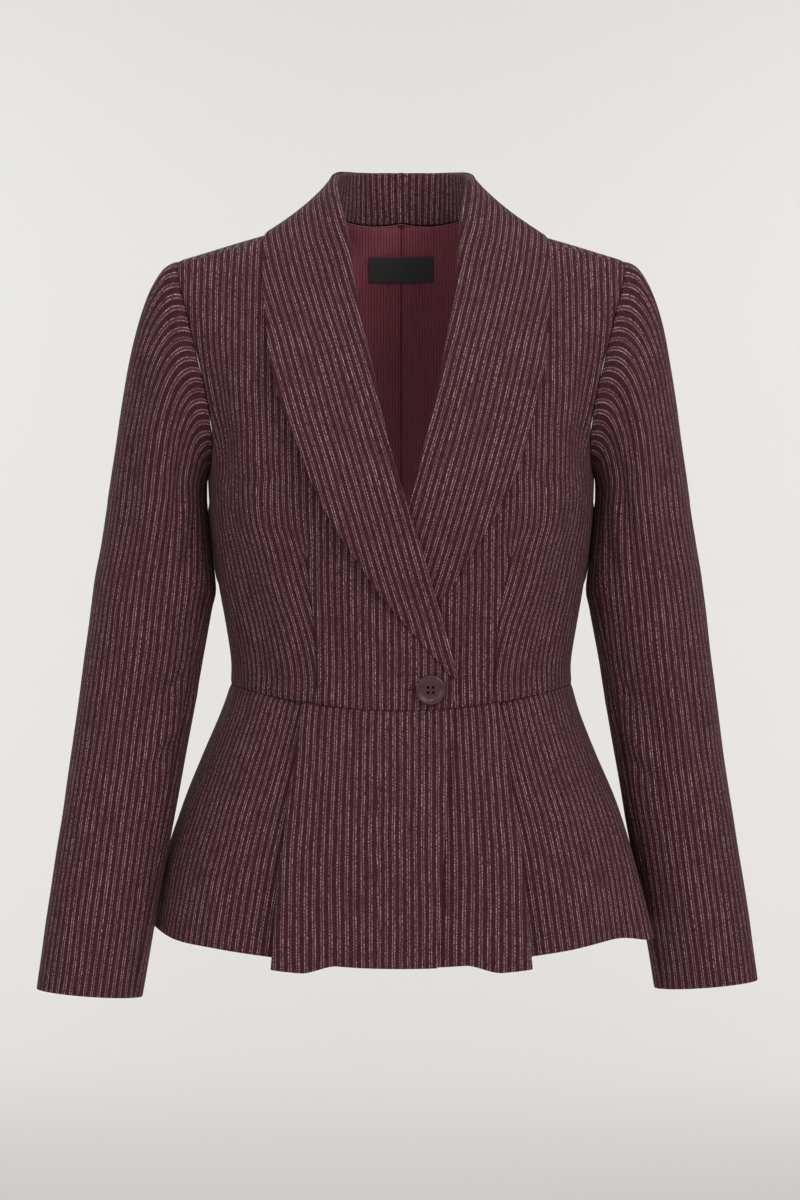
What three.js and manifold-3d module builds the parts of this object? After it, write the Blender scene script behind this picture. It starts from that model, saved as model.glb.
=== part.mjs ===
// Peplum jacket: a fitted one-button jacket with a shawl collar, long two-piece sleeves
// and a short peplum with one deep pleat in each quarter, held open as if worn.
// Millimetres, +Z up, the front faces -Y. Right and left are the wearer's, so the right
// half lies on -X. The origin is midway between the tips of the shoulders' slope.
// Most points are worked out on a half body: x counts outward from the centre line, and
// a negative x has crossed to the other half.

import * as THREE from 'three';
import { mergeVertices } from 'three/addons/utils/BufferGeometryUtils.js';
import Module from 'manifold-3d';

const wasm = await Module();
wasm.setup();

// Cloth and seams
const CLOTH = 1.8; // shell cloth with its fusing
const FACING = 1.6; // collar, lapels and the pleated peplum
const LINING = 1.0;
const SEAM = 0.3; // what parts two pieces where they are sewn together
const RIGHT = -1;
const LEFT = 1;

// Body sections, in rows from the shoulder seam (0) to the waist seam (12)
const UNDERARM_ROW = 7;
const WAIST_ROW = 12;
const NECK_HALF = 60; // the shoulder seam ends this far from the centre
const NECK_ROW = 0.5; // how far the back neck seam dips below the shoulder rows
const FACET_DIP = 0.8; // how far flat facets dip below the curve that they follow

// Front edge of each half: the neck seam, the roll line, then the edge below the button
const ROLL_START_Z = -45;
const ROLL_END_Z = { right: -369, left: -352 }; // the left lapel ends hidden under the right front
const frontOpening = [
  { z: 15.4, right: 60, left: 60 },
  { z: -1, right: 56, left: 57.5 },
  { z: -25, right: 48, left: 53 },
  { z: -45, right: 42, left: 49 },
  { z: -80, right: 35.5, left: 43 },
  { z: -115, right: 27, left: 36.4 },
  { z: -160, right: 17.5, left: 26 },
  { z: -205, right: 5.5, left: 15 },
  { z: -245, right: -7.3, left: 4 },
  { z: -303, right: -25.4, left: -17 },
  { z: -350, right: -38.8, left: -34 },
  { z: -372, right: -44.5, left: -42.5 },
  { z: -397, right: -41, left: -41 },
];

// Outer edge of each lapel, as it lies on the front
const lapelEdge = [
  { z: -16, right: 113.5, left: 121 },
  { z: -65, right: 111, left: 121 },
  { z: -98, right: 106.3, left: 117.5 },
  { z: -136, right: 97.6, left: 109.8 },
  { z: -183, right: 80.4, left: 97.8 },
  { z: -227, right: 60.6, left: 80 },
  { z: -268, right: 37.6, left: 56 },
  { z: -303, right: 15, left: 33 },
  { z: -340, right: -15.7, left: -16 },
  { z: -355, right: -29, left: -34 },
  { z: -372, right: -43, left: -42 },
];

const frontArmhole = [
  { row: 0, x: 186, y: -6, z: -22.6 },
  { row: 0.5, x: 186, y: -22, z: -28 },
  { row: 1, x: 184, y: -33, z: -43 },
  { row: 2, x: 176, y: -46, z: -73 },
  { row: 3, x: 167, y: -55, z: -108 },
  { row: 4, x: 158.5, y: -58, z: -144 },
  { row: 5, x: 155.5, y: -48, z: -174 },
  { row: 6, x: 157, y: -33, z: -191.5 },
  { row: 7, x: 161, y: -2, z: -205 },
];
const backArmhole = [
  { row: 0, x: 186, y: -6, z: -22.6 },
  { row: 0.5, x: 186, y: 9, z: -27.2 },
  { row: 1, x: 184, y: 21, z: -43 },
  { row: 2, x: 178, y: 35, z: -75 },
  { row: 3, x: 171, y: 45, z: -110 },
  { row: 4, x: 164, y: 47, z: -145 },
  { row: 5, x: 159, y: 38, z: -175 },
  { row: 6, x: 158.5, y: 24, z: -191.5 },
  { row: 7, x: 161, y: -2, z: -205 },
];
const sideSeam = [
  { row: 7, x: 161, y: -2, z: -205 },
  { row: 8, x: 158.5, y: 0, z: -246 },
  { row: 9, x: 153, y: 0, z: -288 },
  { row: 10, x: 146, y: 0, z: -326 },
  { row: 11, x: 141.5, y: 0, z: -356 },
  { row: 12, x: 142, y: 0, z: -376 },
];

// Centre line of each half, how far a section turns by its outer end, how its height
// bends from the centre to that end, how much of the neck's bell shape it has, and how
// square it is (2 is an ellipse)
const frontCentre = [
  { row: 0, y: -6, z: 33.4, turn: 60, bend: 1, neck: 0, square: 2.3 },
  { row: 0.5, y: -24, z: 25, turn: 60, bend: 1.05, neck: 0, square: 2.3 },
  { row: 1, y: -44, z: 5, turn: 60, bend: 1.2, neck: 0, square: 2.3 },
  { row: 2, y: -74, z: -42, turn: 62, bend: 1.5, neck: 0, square: 2.3 },
  { row: 3, y: -97, z: -92, turn: 62, bend: 1.8, neck: 0, square: 2.3 },
  { row: 4, y: -113, z: -136, turn: 64, bend: 2, neck: 0, square: 2.45 },
  { row: 5, y: -121, z: -172, turn: 70, bend: 2, neck: 0, square: 2.7 },
  { row: 6, y: -124.8, z: -192.5, turn: 78, bend: 2, neck: 0, square: 2.85 },
  { row: 7, y: -126.5, z: -212, turn: 88, bend: 2, neck: 0, square: 2.6 },
  { row: 8, y: -122, z: -251, turn: 90, bend: 2, neck: 0, square: 2.55 },
  { row: 9, y: -113.5, z: -295, turn: 90, bend: 2, neck: 0, square: 2.45 },
  { row: 10, y: -107, z: -335, turn: 90, bend: 2, neck: 0, square: 2.35 },
  { row: 11, y: -105, z: -370, turn: 90, bend: 2, neck: 0, square: 2.25 },
  { row: 12, y: -105.5, z: -395.5, turn: 90, bend: 2, neck: 0, square: 2.2 },
];
const backCentre = [
  { row: 0, y: 42, z: 33.4, turn: 60, bend: 1, neck: 1, square: 2.3 },
  { row: 0.5, y: 58, z: 16.2, turn: 60, bend: 1.05, neck: 0.6, square: 2.3 },
  { row: 1, y: 70, z: -5, turn: 60, bend: 1.2, neck: 0.25, square: 2.3 },
  { row: 2, y: 90, z: -47, turn: 62, bend: 1.5, neck: 0, square: 2.3 },
  { row: 3, y: 101, z: -94, turn: 62, bend: 1.8, neck: 0, square: 2.3 },
  { row: 4, y: 105, z: -138, turn: 64, bend: 2, neck: 0, square: 2.45 },
  { row: 5, y: 105, z: -173, turn: 70, bend: 2, neck: 0, square: 2.7 },
  { row: 6, y: 104, z: -193, turn: 78, bend: 2, neck: 0, square: 2.85 },
  { row: 7, y: 103, z: -211, turn: 88, bend: 2, neck: 0, square: 2.6 },
  { row: 8, y: 98, z: -250, turn: 90, bend: 2, neck: 0, square: 2.55 },
  { row: 9, y: 93.5, z: -294, turn: 90, bend: 2, neck: 0, square: 2.45 },
  { row: 10, y: 91.5, z: -333, turn: 90, bend: 2, neck: 0, square: 2.35 },
  { row: 11, y: 93, z: -365, turn: 90, bend: 2, neck: 0, square: 2.25 },
  { row: 12, y: 96.5, z: -388, turn: 90, bend: 2, neck: 0, square: 2.2 },
];

// Lap of the right front over the left front and its lapel
const LAP_LIFT = 6.4;
const LAP_FROM_X = 84; // the lift begins this far out on the right half
const LAP_FULL_X = 24;
const LAP_FROM_Z = -130;
const LAP_FULL_Z = -240;

// Shawl collar, in steps from the centre back (0) to the start of the roll line (7):
// its fold, its outer edge, and the neck seam under it (x on the back, z on the front)
const RIDGE_STEP = 4; // here the collar crosses the shoulder seam
const ROLL_STEP = 7;
const LAST_STEP = 20;
const BACK_BULGE = 4; // how far the collar bows out between its fold and its edge at the back
const SIDE_BULGE = -3; // it hollows over the shoulders
const collarSteps = [
  { step: 0, foldX: 0, foldY: 65, foldZ: 57.4, edgeX: 0, edgeY: 80, edgeZ: -8, seam: 0 },
  { step: 1, foldX: 27, foldY: 59, foldZ: 57, edgeX: 41, edgeY: 76, edgeZ: -7.5, seam: 26 },
  { step: 2, foldX: 43, foldY: 42, foldZ: 55.3, edgeX: 79, edgeY: 57, edgeZ: -5, seam: 45 },
  { step: 3, foldX: 51, foldY: 19, foldZ: 51, edgeX: 103, edgeY: 25, edgeZ: 1, seam: 55 },
  { step: 4, foldX: 53, foldY: -4, foldZ: 44.5, edgeX: 112, edgeY: -6, edgeZ: 4.6, seam: 18 },
  { step: 5, foldX: 51.5, foldY: -26, foldZ: 32, edgeX: 113.5, edgeY: -36, edgeZ: -16, seam: 4 },
  { step: 6, foldX: 47.5, foldY: -51, foldZ: 6, edgeX: 113, edgeY: -54, edgeZ: -43, seam: -18 },
];
const LEFT_FOLD_OUT = 2.5; // the left half of the collar lies this much further out
const LEFT_EDGE_OUT = 1.075;
const ROLL_EDGE_DROP = 46; // how far below the fold's start the lapel's edge starts
const NECK_AXIS = { y: 10, z: 40 }; // the middle of the neck, which the collar leans to
const rollRadius = [
  { step: 0, radius: 3.2 },
  { step: 5, radius: 3 },
  { step: 8, radius: 2.8 },
  { step: 11, radius: 2.2 },
  { step: 13, radius: 1.4 },
  { step: 20, radius: 1.3 },
];

// Sleeves: sections below the cap, their centres and half sizes
const sleeveSections = [
  { z: -222, x: 195.5, y: -5, out: 49.5, in: 32, deep: 55 },
  { z: -262, x: 201, y: -8, out: 49.5, in: 42.2, deep: 53 },
  { z: -290, x: 205.5, y: -10, out: 49.5, in: 50.4, deep: 51 },
  { z: -306, x: 208, y: -12, out: 49, in: 49.5, deep: 50 },
  { z: -390, x: 220.5, y: -21, out: 47, in: 47.5, deep: 45 },
  { z: -472, x: 233, y: -33, out: 45, in: 46, deep: 41 },
  { z: -550, x: 245, y: -44, out: 44, in: 44, deep: 36.5 },
  { z: -629, x: 257, y: -54, out: 42.5, in: 43, deep: 32.5 },
];
const CAP_END_Z = -222;
const CUFF_Z = -629;
const LEFT_NARROW = 4; // the left sleeve's outer half is this much narrower at the cap
const LEFT_FORWARD = -0.3; // the left sleeve's share of the right sleeve's swing to the front
const CAP_LAUNCH = 0.5; // how long the cap keeps its first direction
const CAP_LAND = 1.4; // how long it has already turned down
const CAP_LIFT = -0.2; // it falls a little as it leaves the shoulder
const CAP_FORWARD = 0.25; // how far it leans to the front, and to the back
const FRONT_SLEEVE_SEAM = 150; // degrees from the top of the arm, forward
const BACK_SLEEVE_SEAM = 242;

// Peplum: rings from the waist seam (0) to the hem (1), the place of the pleat's fold
// and the radius of its turns
const peplumRings = [
  {
    down: 0, side: 142, left: 142, sideZ: -376, front: -105.5, frontZ: -395.5,
    back: 96.5, backZ: -388, fold: 77, turn: 1.5,
  },
  {
    down: 0.12, side: 150.5, left: 149, sideZ: -400, front: -111, frontZ: -420,
    back: 102, backZ: -413, fold: 80.5, turn: 1.8,
  },
  {
    down: 0.3, side: 166, left: 163, sideZ: -436, front: -119, frontZ: -457,
    back: 111, backZ: -450, fold: 85, turn: 2.3,
  },
  {
    down: 0.5, side: 182, left: 179.5, sideZ: -476, front: -127, frontZ: -498,
    back: 121, backZ: -492, fold: 90, turn: 2.9,
  },
  {
    down: 0.75, side: 198, left: 193.5, sideZ: -526, front: -134, frontZ: -549,
    back: 131, backZ: -544, fold: 95, turn: 3.5,
  },
  {
    down: 1, side: 207.5, left: 202, sideZ: -576, front: -139, frontZ: -600,
    back: 138, backZ: -596, fold: 98.5, turn: 4.2,
  },
];
const PEPLUM_SQUARE = 2.2;
const PLEAT_RETURN = 22; // how far the pleat folds back under
const PLEAT_EASE = 48; // how far from the fold its layers come back to the ring
const PLEAT_DROP = 8; // the outer layer's corner hangs this much lower
const FLUTE_FALL = 0.55; // a flute hangs lower by this share of its height
const FRONT_EDGE_TOP = -41; // front edges of the peplum, past the centre
const FRONT_EDGE_HEM = -28;

// Button with four holes
const BUTTON = { x: 23.4, z: -378.6, radius: 12.35, thick: 4 };
const BUTTON_DISH = { radius: 9.4, sunk: 0.9 };
const BUTTON_HOLES = { radius: 0.95, pitch: 4.2 };

// Label at the back neck
const LABEL = { half: 28, top: -9.5, bottom: -29.5 };

const mix = (a, b, share) => a + (b - a) * share;
const clamp = (value, low, high) => Math.min(Math.max(value, low), high);
const radians = THREE.MathUtils.degToRad;
const signedPower = (value, power) => Math.sign(value) * Math.abs(value) ** power;

function smooth(value, from, to) {
  const share = clamp((value - from) / (to - from), 0, 1);
  return share * share * (3 - 2 * share);
}

// One column of a table, on a smooth curve through its rows
function column(table, key, name) {
  const last = table.length - 1;
  const slope = (i) => {
    const before = table[Math.max(i - 1, 0)];
    const after = table[Math.min(i + 1, last)];
    return (after[name] - before[name]) / (after[key] - before[key]);
  };
  const rising = table[last][key] > table[0][key];
  return (value) => {
    const low = rising ? table[0][key] : table[last][key];
    const high = rising ? table[last][key] : table[0][key];
    const at = clamp(value, low, high);
    let i = 0;
    while (i < last - 1 && (at > table[i + 1][key]) === rising && at !== table[i + 1][key]) i += 1;
    const step = table[i + 1][key] - table[i][key];
    const s = (at - table[i][key]) / step;
    const a = table[i][name];
    const b = table[i + 1][name];
    const startSlope = slope(i) * step;
    const endSlope = slope(i + 1) * step;
    const rest = 3 * (b - a) - 2 * startSlope - endSlope;
    return a + s * (startSlope + s * (rest + s * (2 * (a - b) + startSlope + endSlope)));
  };
}

// All the columns of a table at once
function columns(table, key) {
  const names = Object.keys(table[0]).filter((name) => name !== key);
  const readers = names.map((name) => column(table, key, name));
  return (value) => Object.fromEntries(names.map((name, i) => [name, readers[i](value)]));
}

const sideAt = columns(sideSeam, 'row');
const FRONT = { armhole: columns(frontArmhole, 'row'), centre: columns(frontCentre, 'row') };
const BACK = { armhole: columns(backArmhole, 'row'), centre: columns(backCentre, 'row') };
const openingAt = columns(frontOpening, 'z');
const lapelEdgeAt = columns(lapelEdge, 'z');
const collarAt = columns(collarSteps, 'step');
const rollAt = columns(rollRadius, 'step');
const sleeveAt = columns(sleeveSections, 'z');
const ringAt = columns(peplumRings, 'down');
const sideName = (side) => (side === RIGHT ? 'right' : 'left');

// Outer end of a body row: on the armhole, then on the side seam
function rowEnd(half, row) {
  return row < UNDERARM_ROW ? half.armhole(row) : sideAt(row);
}

// How far the right front is pushed out over the left front's layers
function lapLift(side, x, z) {
  if (side !== RIGHT) return 0;
  return LAP_LIFT * smooth(-x, -LAP_FROM_X, -LAP_FULL_X) * smooth(-z, -LAP_FROM_Z, -LAP_FULL_Z);
}

// Point of the body's surface in a row, x outward from the centre
function bodyPoint(half, side, row, x) {
  const end = rowEnd(half, row);
  const centre = half.centre(row);
  const turn = radians(centre.turn);
  const share = Math.min(Math.abs(x) / end.x, 1);
  const { square } = centre;
  const across = share * Math.sin(turn) ** (2 / square);
  const depth = (1 - across ** square) ** (1 / square);
  const endDepth = Math.max(Math.cos(turn), 0) ** (2 / square);
  const arc = (depth - endDepth) / (1 - endDepth);
  const bell = 1 - Math.min(Math.abs(x) / NECK_HALF, 1) ** 2.2;
  const shape = mix(arc, bell, centre.neck);
  const z = mix(centre.z, end.z, share ** centre.bend);
  const lift = half === FRONT ? lapLift(side, x, z) : 0;
  return new THREE.Vector3(x, mix(end.y, centre.y, shape) - lift, z);
}

// Share of a row's turn at which it reaches x, and x at a share
function shareAt(half, row, x) {
  const { turn, square } = half.centre(row);
  const across = clamp(x / rowEnd(half, row).x, -1, 1);
  return Math.asin(signedPower(across, square / 2) * Math.sin(radians(turn))) / radians(turn);
}

function xAt(half, row, share) {
  const { turn, square } = half.centre(row);
  const across = Math.sin(radians(turn) * share) / Math.sin(radians(turn));
  return rowEnd(half, row).x * signedPower(across, 2 / square);
}

// Row in which the body's surface at x has the height z
function rowAt(half, side, x, z) {
  let top = 0;
  let bottom = WAIST_ROW;
  for (let i = 0; i < 24; i += 1) {
    const row = (top + bottom) / 2;
    if (bodyPoint(half, side, row, x).z > z) top = row;
    else bottom = row;
  }
  return (top + bottom) / 2;
}

// How far past an edge a wall must start to clear it, when it leaves it in another way
function clearance(run, leave) {
  const cosine = clamp(run.dot(leave), -0.6, 1);
  return (CLOTH / 2) * Math.sqrt((1 - cosine) / (1 + cosine));
}

// Outward normal of the body's surface
function bodyNormal(half, side, row, x) {
  const stepX = 0.5;
  const stepRow = 0.02;
  const end = rowEnd(half, row).x - stepX;
  const at = clamp(x, -end, end);
  const low = Math.max(row - stepRow, 0);
  const high = Math.min(row + stepRow, WAIST_ROW);
  const across = bodyPoint(half, side, row, at + stepX).sub(bodyPoint(half, side, row, at - stepX));
  const down = bodyPoint(half, side, high, at).sub(bodyPoint(half, side, low, at));
  const normal = across.cross(down).normalize();
  return half === FRONT ? normal.negate() : normal;
}

// Where the front's inner edge lies in a row
function openingX(side, row) {
  const name = sideName(side);
  let x = openingAt(bodyPoint(FRONT, side, row, 20).z)[name];
  for (let i = 0; i < 12; i += 1) x = openingAt(bodyPoint(FRONT, side, row, x).z)[name];
  return x;
}

// Closed wall between two offsets from a grid of surface points. Its edges are the first
// and last row and the start and end column. An edge's gap pulls it back, and its ghost
// is a row of points past it, which turns its normals as the neighbouring piece's are.
function wall(grid, outer, inner, edges = {}) {
  const points = grid.map((row) => row.map((point) => point.clone()));
  const rows = points.length;
  const count = points[0].length;
  const { first = {}, last = {}, start = {}, end = {} } = edges;
  const neighbour = (r, c) => {
    if (r < 0) return first.ghost ? first.ghost[c] : points[0][c];
    if (r >= rows) return last.ghost ? last.ghost[c] : points[rows - 1][c];
    if (c < 0) return start.ghost ? start.ghost[r] : points[r][0];
    if (c >= count) return end.ghost ? end.ghost[r] : points[r][count - 1];
    return points[r][c];
  };
  const normals = points.map((row, r) => row.map((point, c) => {
    const across = neighbour(r, c + 1).clone().sub(neighbour(r, c - 1));
    const down = neighbour(r + 1, c).clone().sub(neighbour(r - 1, c));
    return across.cross(down).normalize();
  }));
  const pull = (edge, next, gap) => edge.add(next.clone().sub(edge).setLength(gap));
  for (let c = 0; c < count; c += 1) {
    if (first.gap) pull(points[0][c], points[1][c], first.gap);
    if (last.gap) pull(points[rows - 1][c], points[rows - 2][c], last.gap);
  }
  for (let r = 0; r < rows; r += 1) {
    if (start.gap) pull(points[r][0], points[r][1], start.gap);
    if (end.gap) pull(points[r][count - 1], points[r][count - 2], end.gap);
  }
  const positions = [];
  for (const offset of [outer, inner]) {
    for (let r = 0; r < rows; r += 1) {
      for (let c = 0; c < count; c += 1) {
        const point = points[r][c].clone().addScaledVector(normals[r][c], offset);
        positions.push(point.x, point.y, point.z);
      }
    }
  }
  const faces = [];
  const quad = (a, b, c, d) => faces.push(a, b, c, a, c, d);
  const far = rows * count;
  for (let r = 0; r < rows - 1; r += 1) {
    for (let c = 0; c < count - 1; c += 1) {
      const a = r * count + c;
      quad(a, a + 1, a + count + 1, a + count);
      quad(far + a, far + a + count, far + a + count + 1, far + a + 1);
    }
  }
  const rim = [];
  for (let c = 0; c < count - 1; c += 1) rim.push(c);
  for (let r = 0; r < rows - 1; r += 1) rim.push(r * count + count - 1);
  for (let c = count - 1; c > 0; c -= 1) rim.push((rows - 1) * count + c);
  for (let r = rows - 1; r > 0; r -= 1) rim.push(r * count);
  rim.forEach((a, i) => {
    const b = rim[(i + 1) % rim.length];
    quad(b, a, far + a, far + b);
  });
  return solid(positions, faces);
}

// Geometry from points and triangles, turned so that its faces point out
function solid(positions, faces) {
  let volume = 0;
  const corner = (i) => new THREE.Vector3(...positions.slice(3 * i, 3 * i + 3));
  for (let i = 0; i < faces.length; i += 3) {
    volume += corner(faces[i]).dot(corner(faces[i + 1]).cross(corner(faces[i + 2])));
  }
  const order = volume < 0 ? faces.slice().reverse() : faces;
  const geometry = new THREE.BufferGeometry();
  geometry.setAttribute('position', new THREE.Float32BufferAttribute(positions, 3));
  geometry.setIndex(order);
  geometry.computeVertexNormals();
  return geometry;
}

// A half body's point on its own side of the jacket
const place = (side, point) => new THREE.Vector3(side * point.x, point.y, point.z);

// Ghost points: a row mirrored in the centre line, or in the shoulder seam's ridge
const overCentre = (points) => points.map((point) => new THREE.Vector3(-point.x, point.y, point.z));
const overRidge = (ridge, below) => ridge.map((point, i) => {
  return new THREE.Vector3(below[i].x, 2 * point.y - below[i].y, below[i].z);
});
const SEAMED = { gap: SEAM / 2 };
const spread = (count, from, to) => Array.from({ length: count + 1 }, (_, i) => mix(from, to, i / count));

// Offsets of a wall of some thickness on the body's surface; side and half decide which
// way a grid's own normal points
const outward = (half, side) => (half === FRONT ? -side : side);

const bodyRows = [0, 0.25, 0.5, 0.75, 1, 1.35, 1.7, 2, ...spread(18, 2.5, 11.5), 12];

// Front: shoulder seam, armhole and side seam, waist seam, front edge and roll line
function frontPanel(side) {
  const grid = bodyRows.map((row) => {
    const inner = shareAt(FRONT, row, openingX(side, row));
    return spread(12, inner, 1).map((share) => {
      return place(side, bodyPoint(FRONT, side, row, xAt(FRONT, row, share)));
    });
  });
  const face = outward(FRONT, side) * (CLOTH / 2);
  const first = { gap: SEAM / 2, ghost: overRidge(grid[0], grid[1]) };
  return wall(grid, face, -face, { first, last: SEAMED, start: SEAMED, end: SEAMED });
}

// Row of the back neck seam at x: it climbs to the shoulder seam at the neck's side
const neckRow = (x) => NECK_ROW * (1 - Math.min(x / NECK_HALF, 1) ** 2.2);

// Point of the back in a row that starts at the neck seam
function backPoint(side, row, share) {
  const x = xAt(BACK, row, share);
  const start = neckRow(Math.abs(xAt(BACK, 0, share)));
  return bodyPoint(BACK, side, mix(start, WAIST_ROW, row / WAIST_ROW), x);
}

const neckShare = shareAt(BACK, 0, NECK_HALF);
const backShares = [...spread(4, 0, neckShare), ...spread(5, neckShare, 1).slice(1)];

function backPanel(side) {
  const grid = bodyRows.map((row) => backShares.map((share) => place(side, backPoint(side, row, share))));
  const face = outward(BACK, side) * (CLOTH / 2);
  const start = { gap: SEAM / 2, ghost: overCentre(grid.map((row) => row[1])) };
  const first = { gap: SEAM / 2, ghost: overRidge(grid[0], grid[1]) };
  return wall(grid, face, -face, { first, last: SEAMED, start, end: SEAMED });
}

// Back lining, as far down and out as the neck opening shows it
const LINING_LAST_ROW = 9;
const LINING_COLUMNS = 9;
const LINING_FACE = CLOTH / 2 + SEAM;

function liningPanel(side) {
  const rows = bodyRows.filter((row) => row <= LINING_LAST_ROW);
  const shares = backShares.slice(0, LINING_COLUMNS);
  const grid = rows.map((row) => shares.map((share) => place(side, backPoint(side, row, share))));
  const sign = outward(BACK, side);
  const start = { gap: SEAM / 2, ghost: overCentre(grid.map((row) => row[1])) };
  const first = { gap: SEAM / 2, ghost: overRidge(grid[0], grid[1]) };
  return wall(grid, -sign * LINING_FACE, -sign * (LINING_FACE + LINING), { first, start });
}

// Label on the lining
function label() {
  const grid = spread(3, LABEL.top, LABEL.bottom).map((z) => {
    return spread(6, -LABEL.half, LABEL.half).map((x) => {
      return bodyPoint(BACK, LEFT, rowAt(BACK, LEFT, Math.abs(x), z), x);
    });
  });
  const near = LINING_FACE + LINING + SEAM + FACET_DIP;
  return wall(grid, -near, -(near + LINING));
}

// Neck seam under a step of the collar, and the way the body's cloth runs to it
function neckSeam(side, step) {
  const seam = (at) => collarAt(at).seam;
  const onBack = step < RIDGE_STEP;
  const half = onBack ? BACK : FRONT;
  if (onBack) {
    const x = step > 3 ? mix(seam(3), NECK_HALF, step - 3) : seam(step);
    const row = neckRow(x);
    const point = bodyPoint(half, side, row, x);
    const run = point.clone().sub(bodyPoint(half, side, row + 0.1, x)).normalize();
    return { point, run };
  }
  const z = mix(frontOpening[0].z, ROLL_START_Z, ((step - RIDGE_STEP) / (ROLL_STEP - RIDGE_STEP)) ** 1.3);
  const x = openingAt(z)[sideName(side)];
  const row = rowAt(FRONT, side, x, z);
  const point = bodyPoint(half, side, row, x);
  const run = point.clone().sub(bodyPoint(half, side, row, x + 2)).normalize();
  return { point, run };
}

// Height of the roll line at a step
function rollZ(side, step) {
  const end = ROLL_END_Z[sideName(side)];
  return mix(ROLL_START_Z, end, (step - ROLL_STEP) / (LAST_STEP - ROLL_STEP));
}

// Fold of the collar and lapel at a step: the collar's own curve, then the roll line
function foldPoint(side, step) {
  const name = sideName(side);
  const rollPoint = (z) => {
    const x = openingAt(z)[name];
    return bodyPoint(FRONT, side, rowAt(FRONT, side, x, z), x);
  };
  if (step >= ROLL_STEP) return rollPoint(rollZ(side, step));
  const top = Math.min(step, 6);
  const fold = collarAt(top);
  const out = side === LEFT ? LEFT_FOLD_OUT * smooth(top, 0, 3) : 0;
  const point = new THREE.Vector3(fold.foldX + out, fold.foldY, fold.foldZ);
  return step > 6 ? point.lerp(rollPoint(ROLL_START_Z), step - 6) : point;
}

// Outer edge of the collar and lapel at a step, before it is laid on the body
function edgePoint(side, step) {
  if (step < ROLL_STEP) {
    const top = Math.min(step, 6);
    const edge = collarAt(top);
    const out = side === LEFT ? LEFT_EDGE_OUT : 1;
    const point = new THREE.Vector3(edge.edgeX * out, edge.edgeY, edge.edgeZ);
    return step > 6 ? point.lerp(edgePoint(side, ROLL_STEP), step - 6) : point;
  }
  const along = (step - ROLL_STEP) / (LAST_STEP - ROLL_STEP);
  const z = rollZ(side, step) - ROLL_EDGE_DROP * (1 - along);
  const x = lapelEdgeAt(z)[sideName(side)];
  return bodyPoint(FRONT, side, rowAt(FRONT, side, x, z), x);
}

// Nearest place on a half of the body, by a coarse search and then a finer one
function footOn(half, side, point) {
  const reach = (row, x) => bodyPoint(half, side, row, x).distanceToSquared(point);
  let best = { row: 0, x: 0, far: Infinity };
  const look = (row, x) => {
    const nearRow = clamp(row, 0, WAIST_ROW);
    const nearX = clamp(x, -80, rowEnd(half, nearRow).x);
    const far = reach(nearRow, nearX);
    if (far < best.far) best = { row: nearRow, x: nearX, far };
  };
  for (let row = 0; row <= WAIST_ROW; row += 0.5) {
    for (let x = -60; x <= 150; x += 15) look(row, x);
  }
  for (let size = 0.25; size > 0.002; size /= 2) {
    for (let turn = 0; turn < 2; turn += 1) {
      const { row, x } = best;
      for (const [dr, dx] of [[1, 0], [-1, 0], [0, 1], [0, -1], [1, 1], [-1, -1], [1, -1], [-1, 1]]) {
        look(row + dr * size, x + dx * size * 30);
      }
    }
  }
  return best;
}

// A point moved out until it lies at least some distance off the body
function layOut(side, point, least, exact) {
  let nearest = null;
  for (const half of [FRONT, BACK]) {
    const foot = footOn(half, side, point);
    if (nearest === null || foot.far < nearest.foot.far) nearest = { half, foot };
  }
  const { half, foot } = nearest;
  const base = bodyPoint(half, side, foot.row, foot.x);
  const normal = bodyNormal(half, side, foot.row, foot.x);
  if (foot.row < 0.02) normal.add(bodyNormal(half === FRONT ? BACK : FRONT, side, 0, foot.x)).normalize();
  const height = point.clone().sub(base).dot(normal);
  if (height > least && !exact) return point;
  return base.addScaledVector(normal, least);
}

const COLLAR_LIE = CLOTH / 2 + SEAM + FACET_DIP + FACING / 2;

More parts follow.
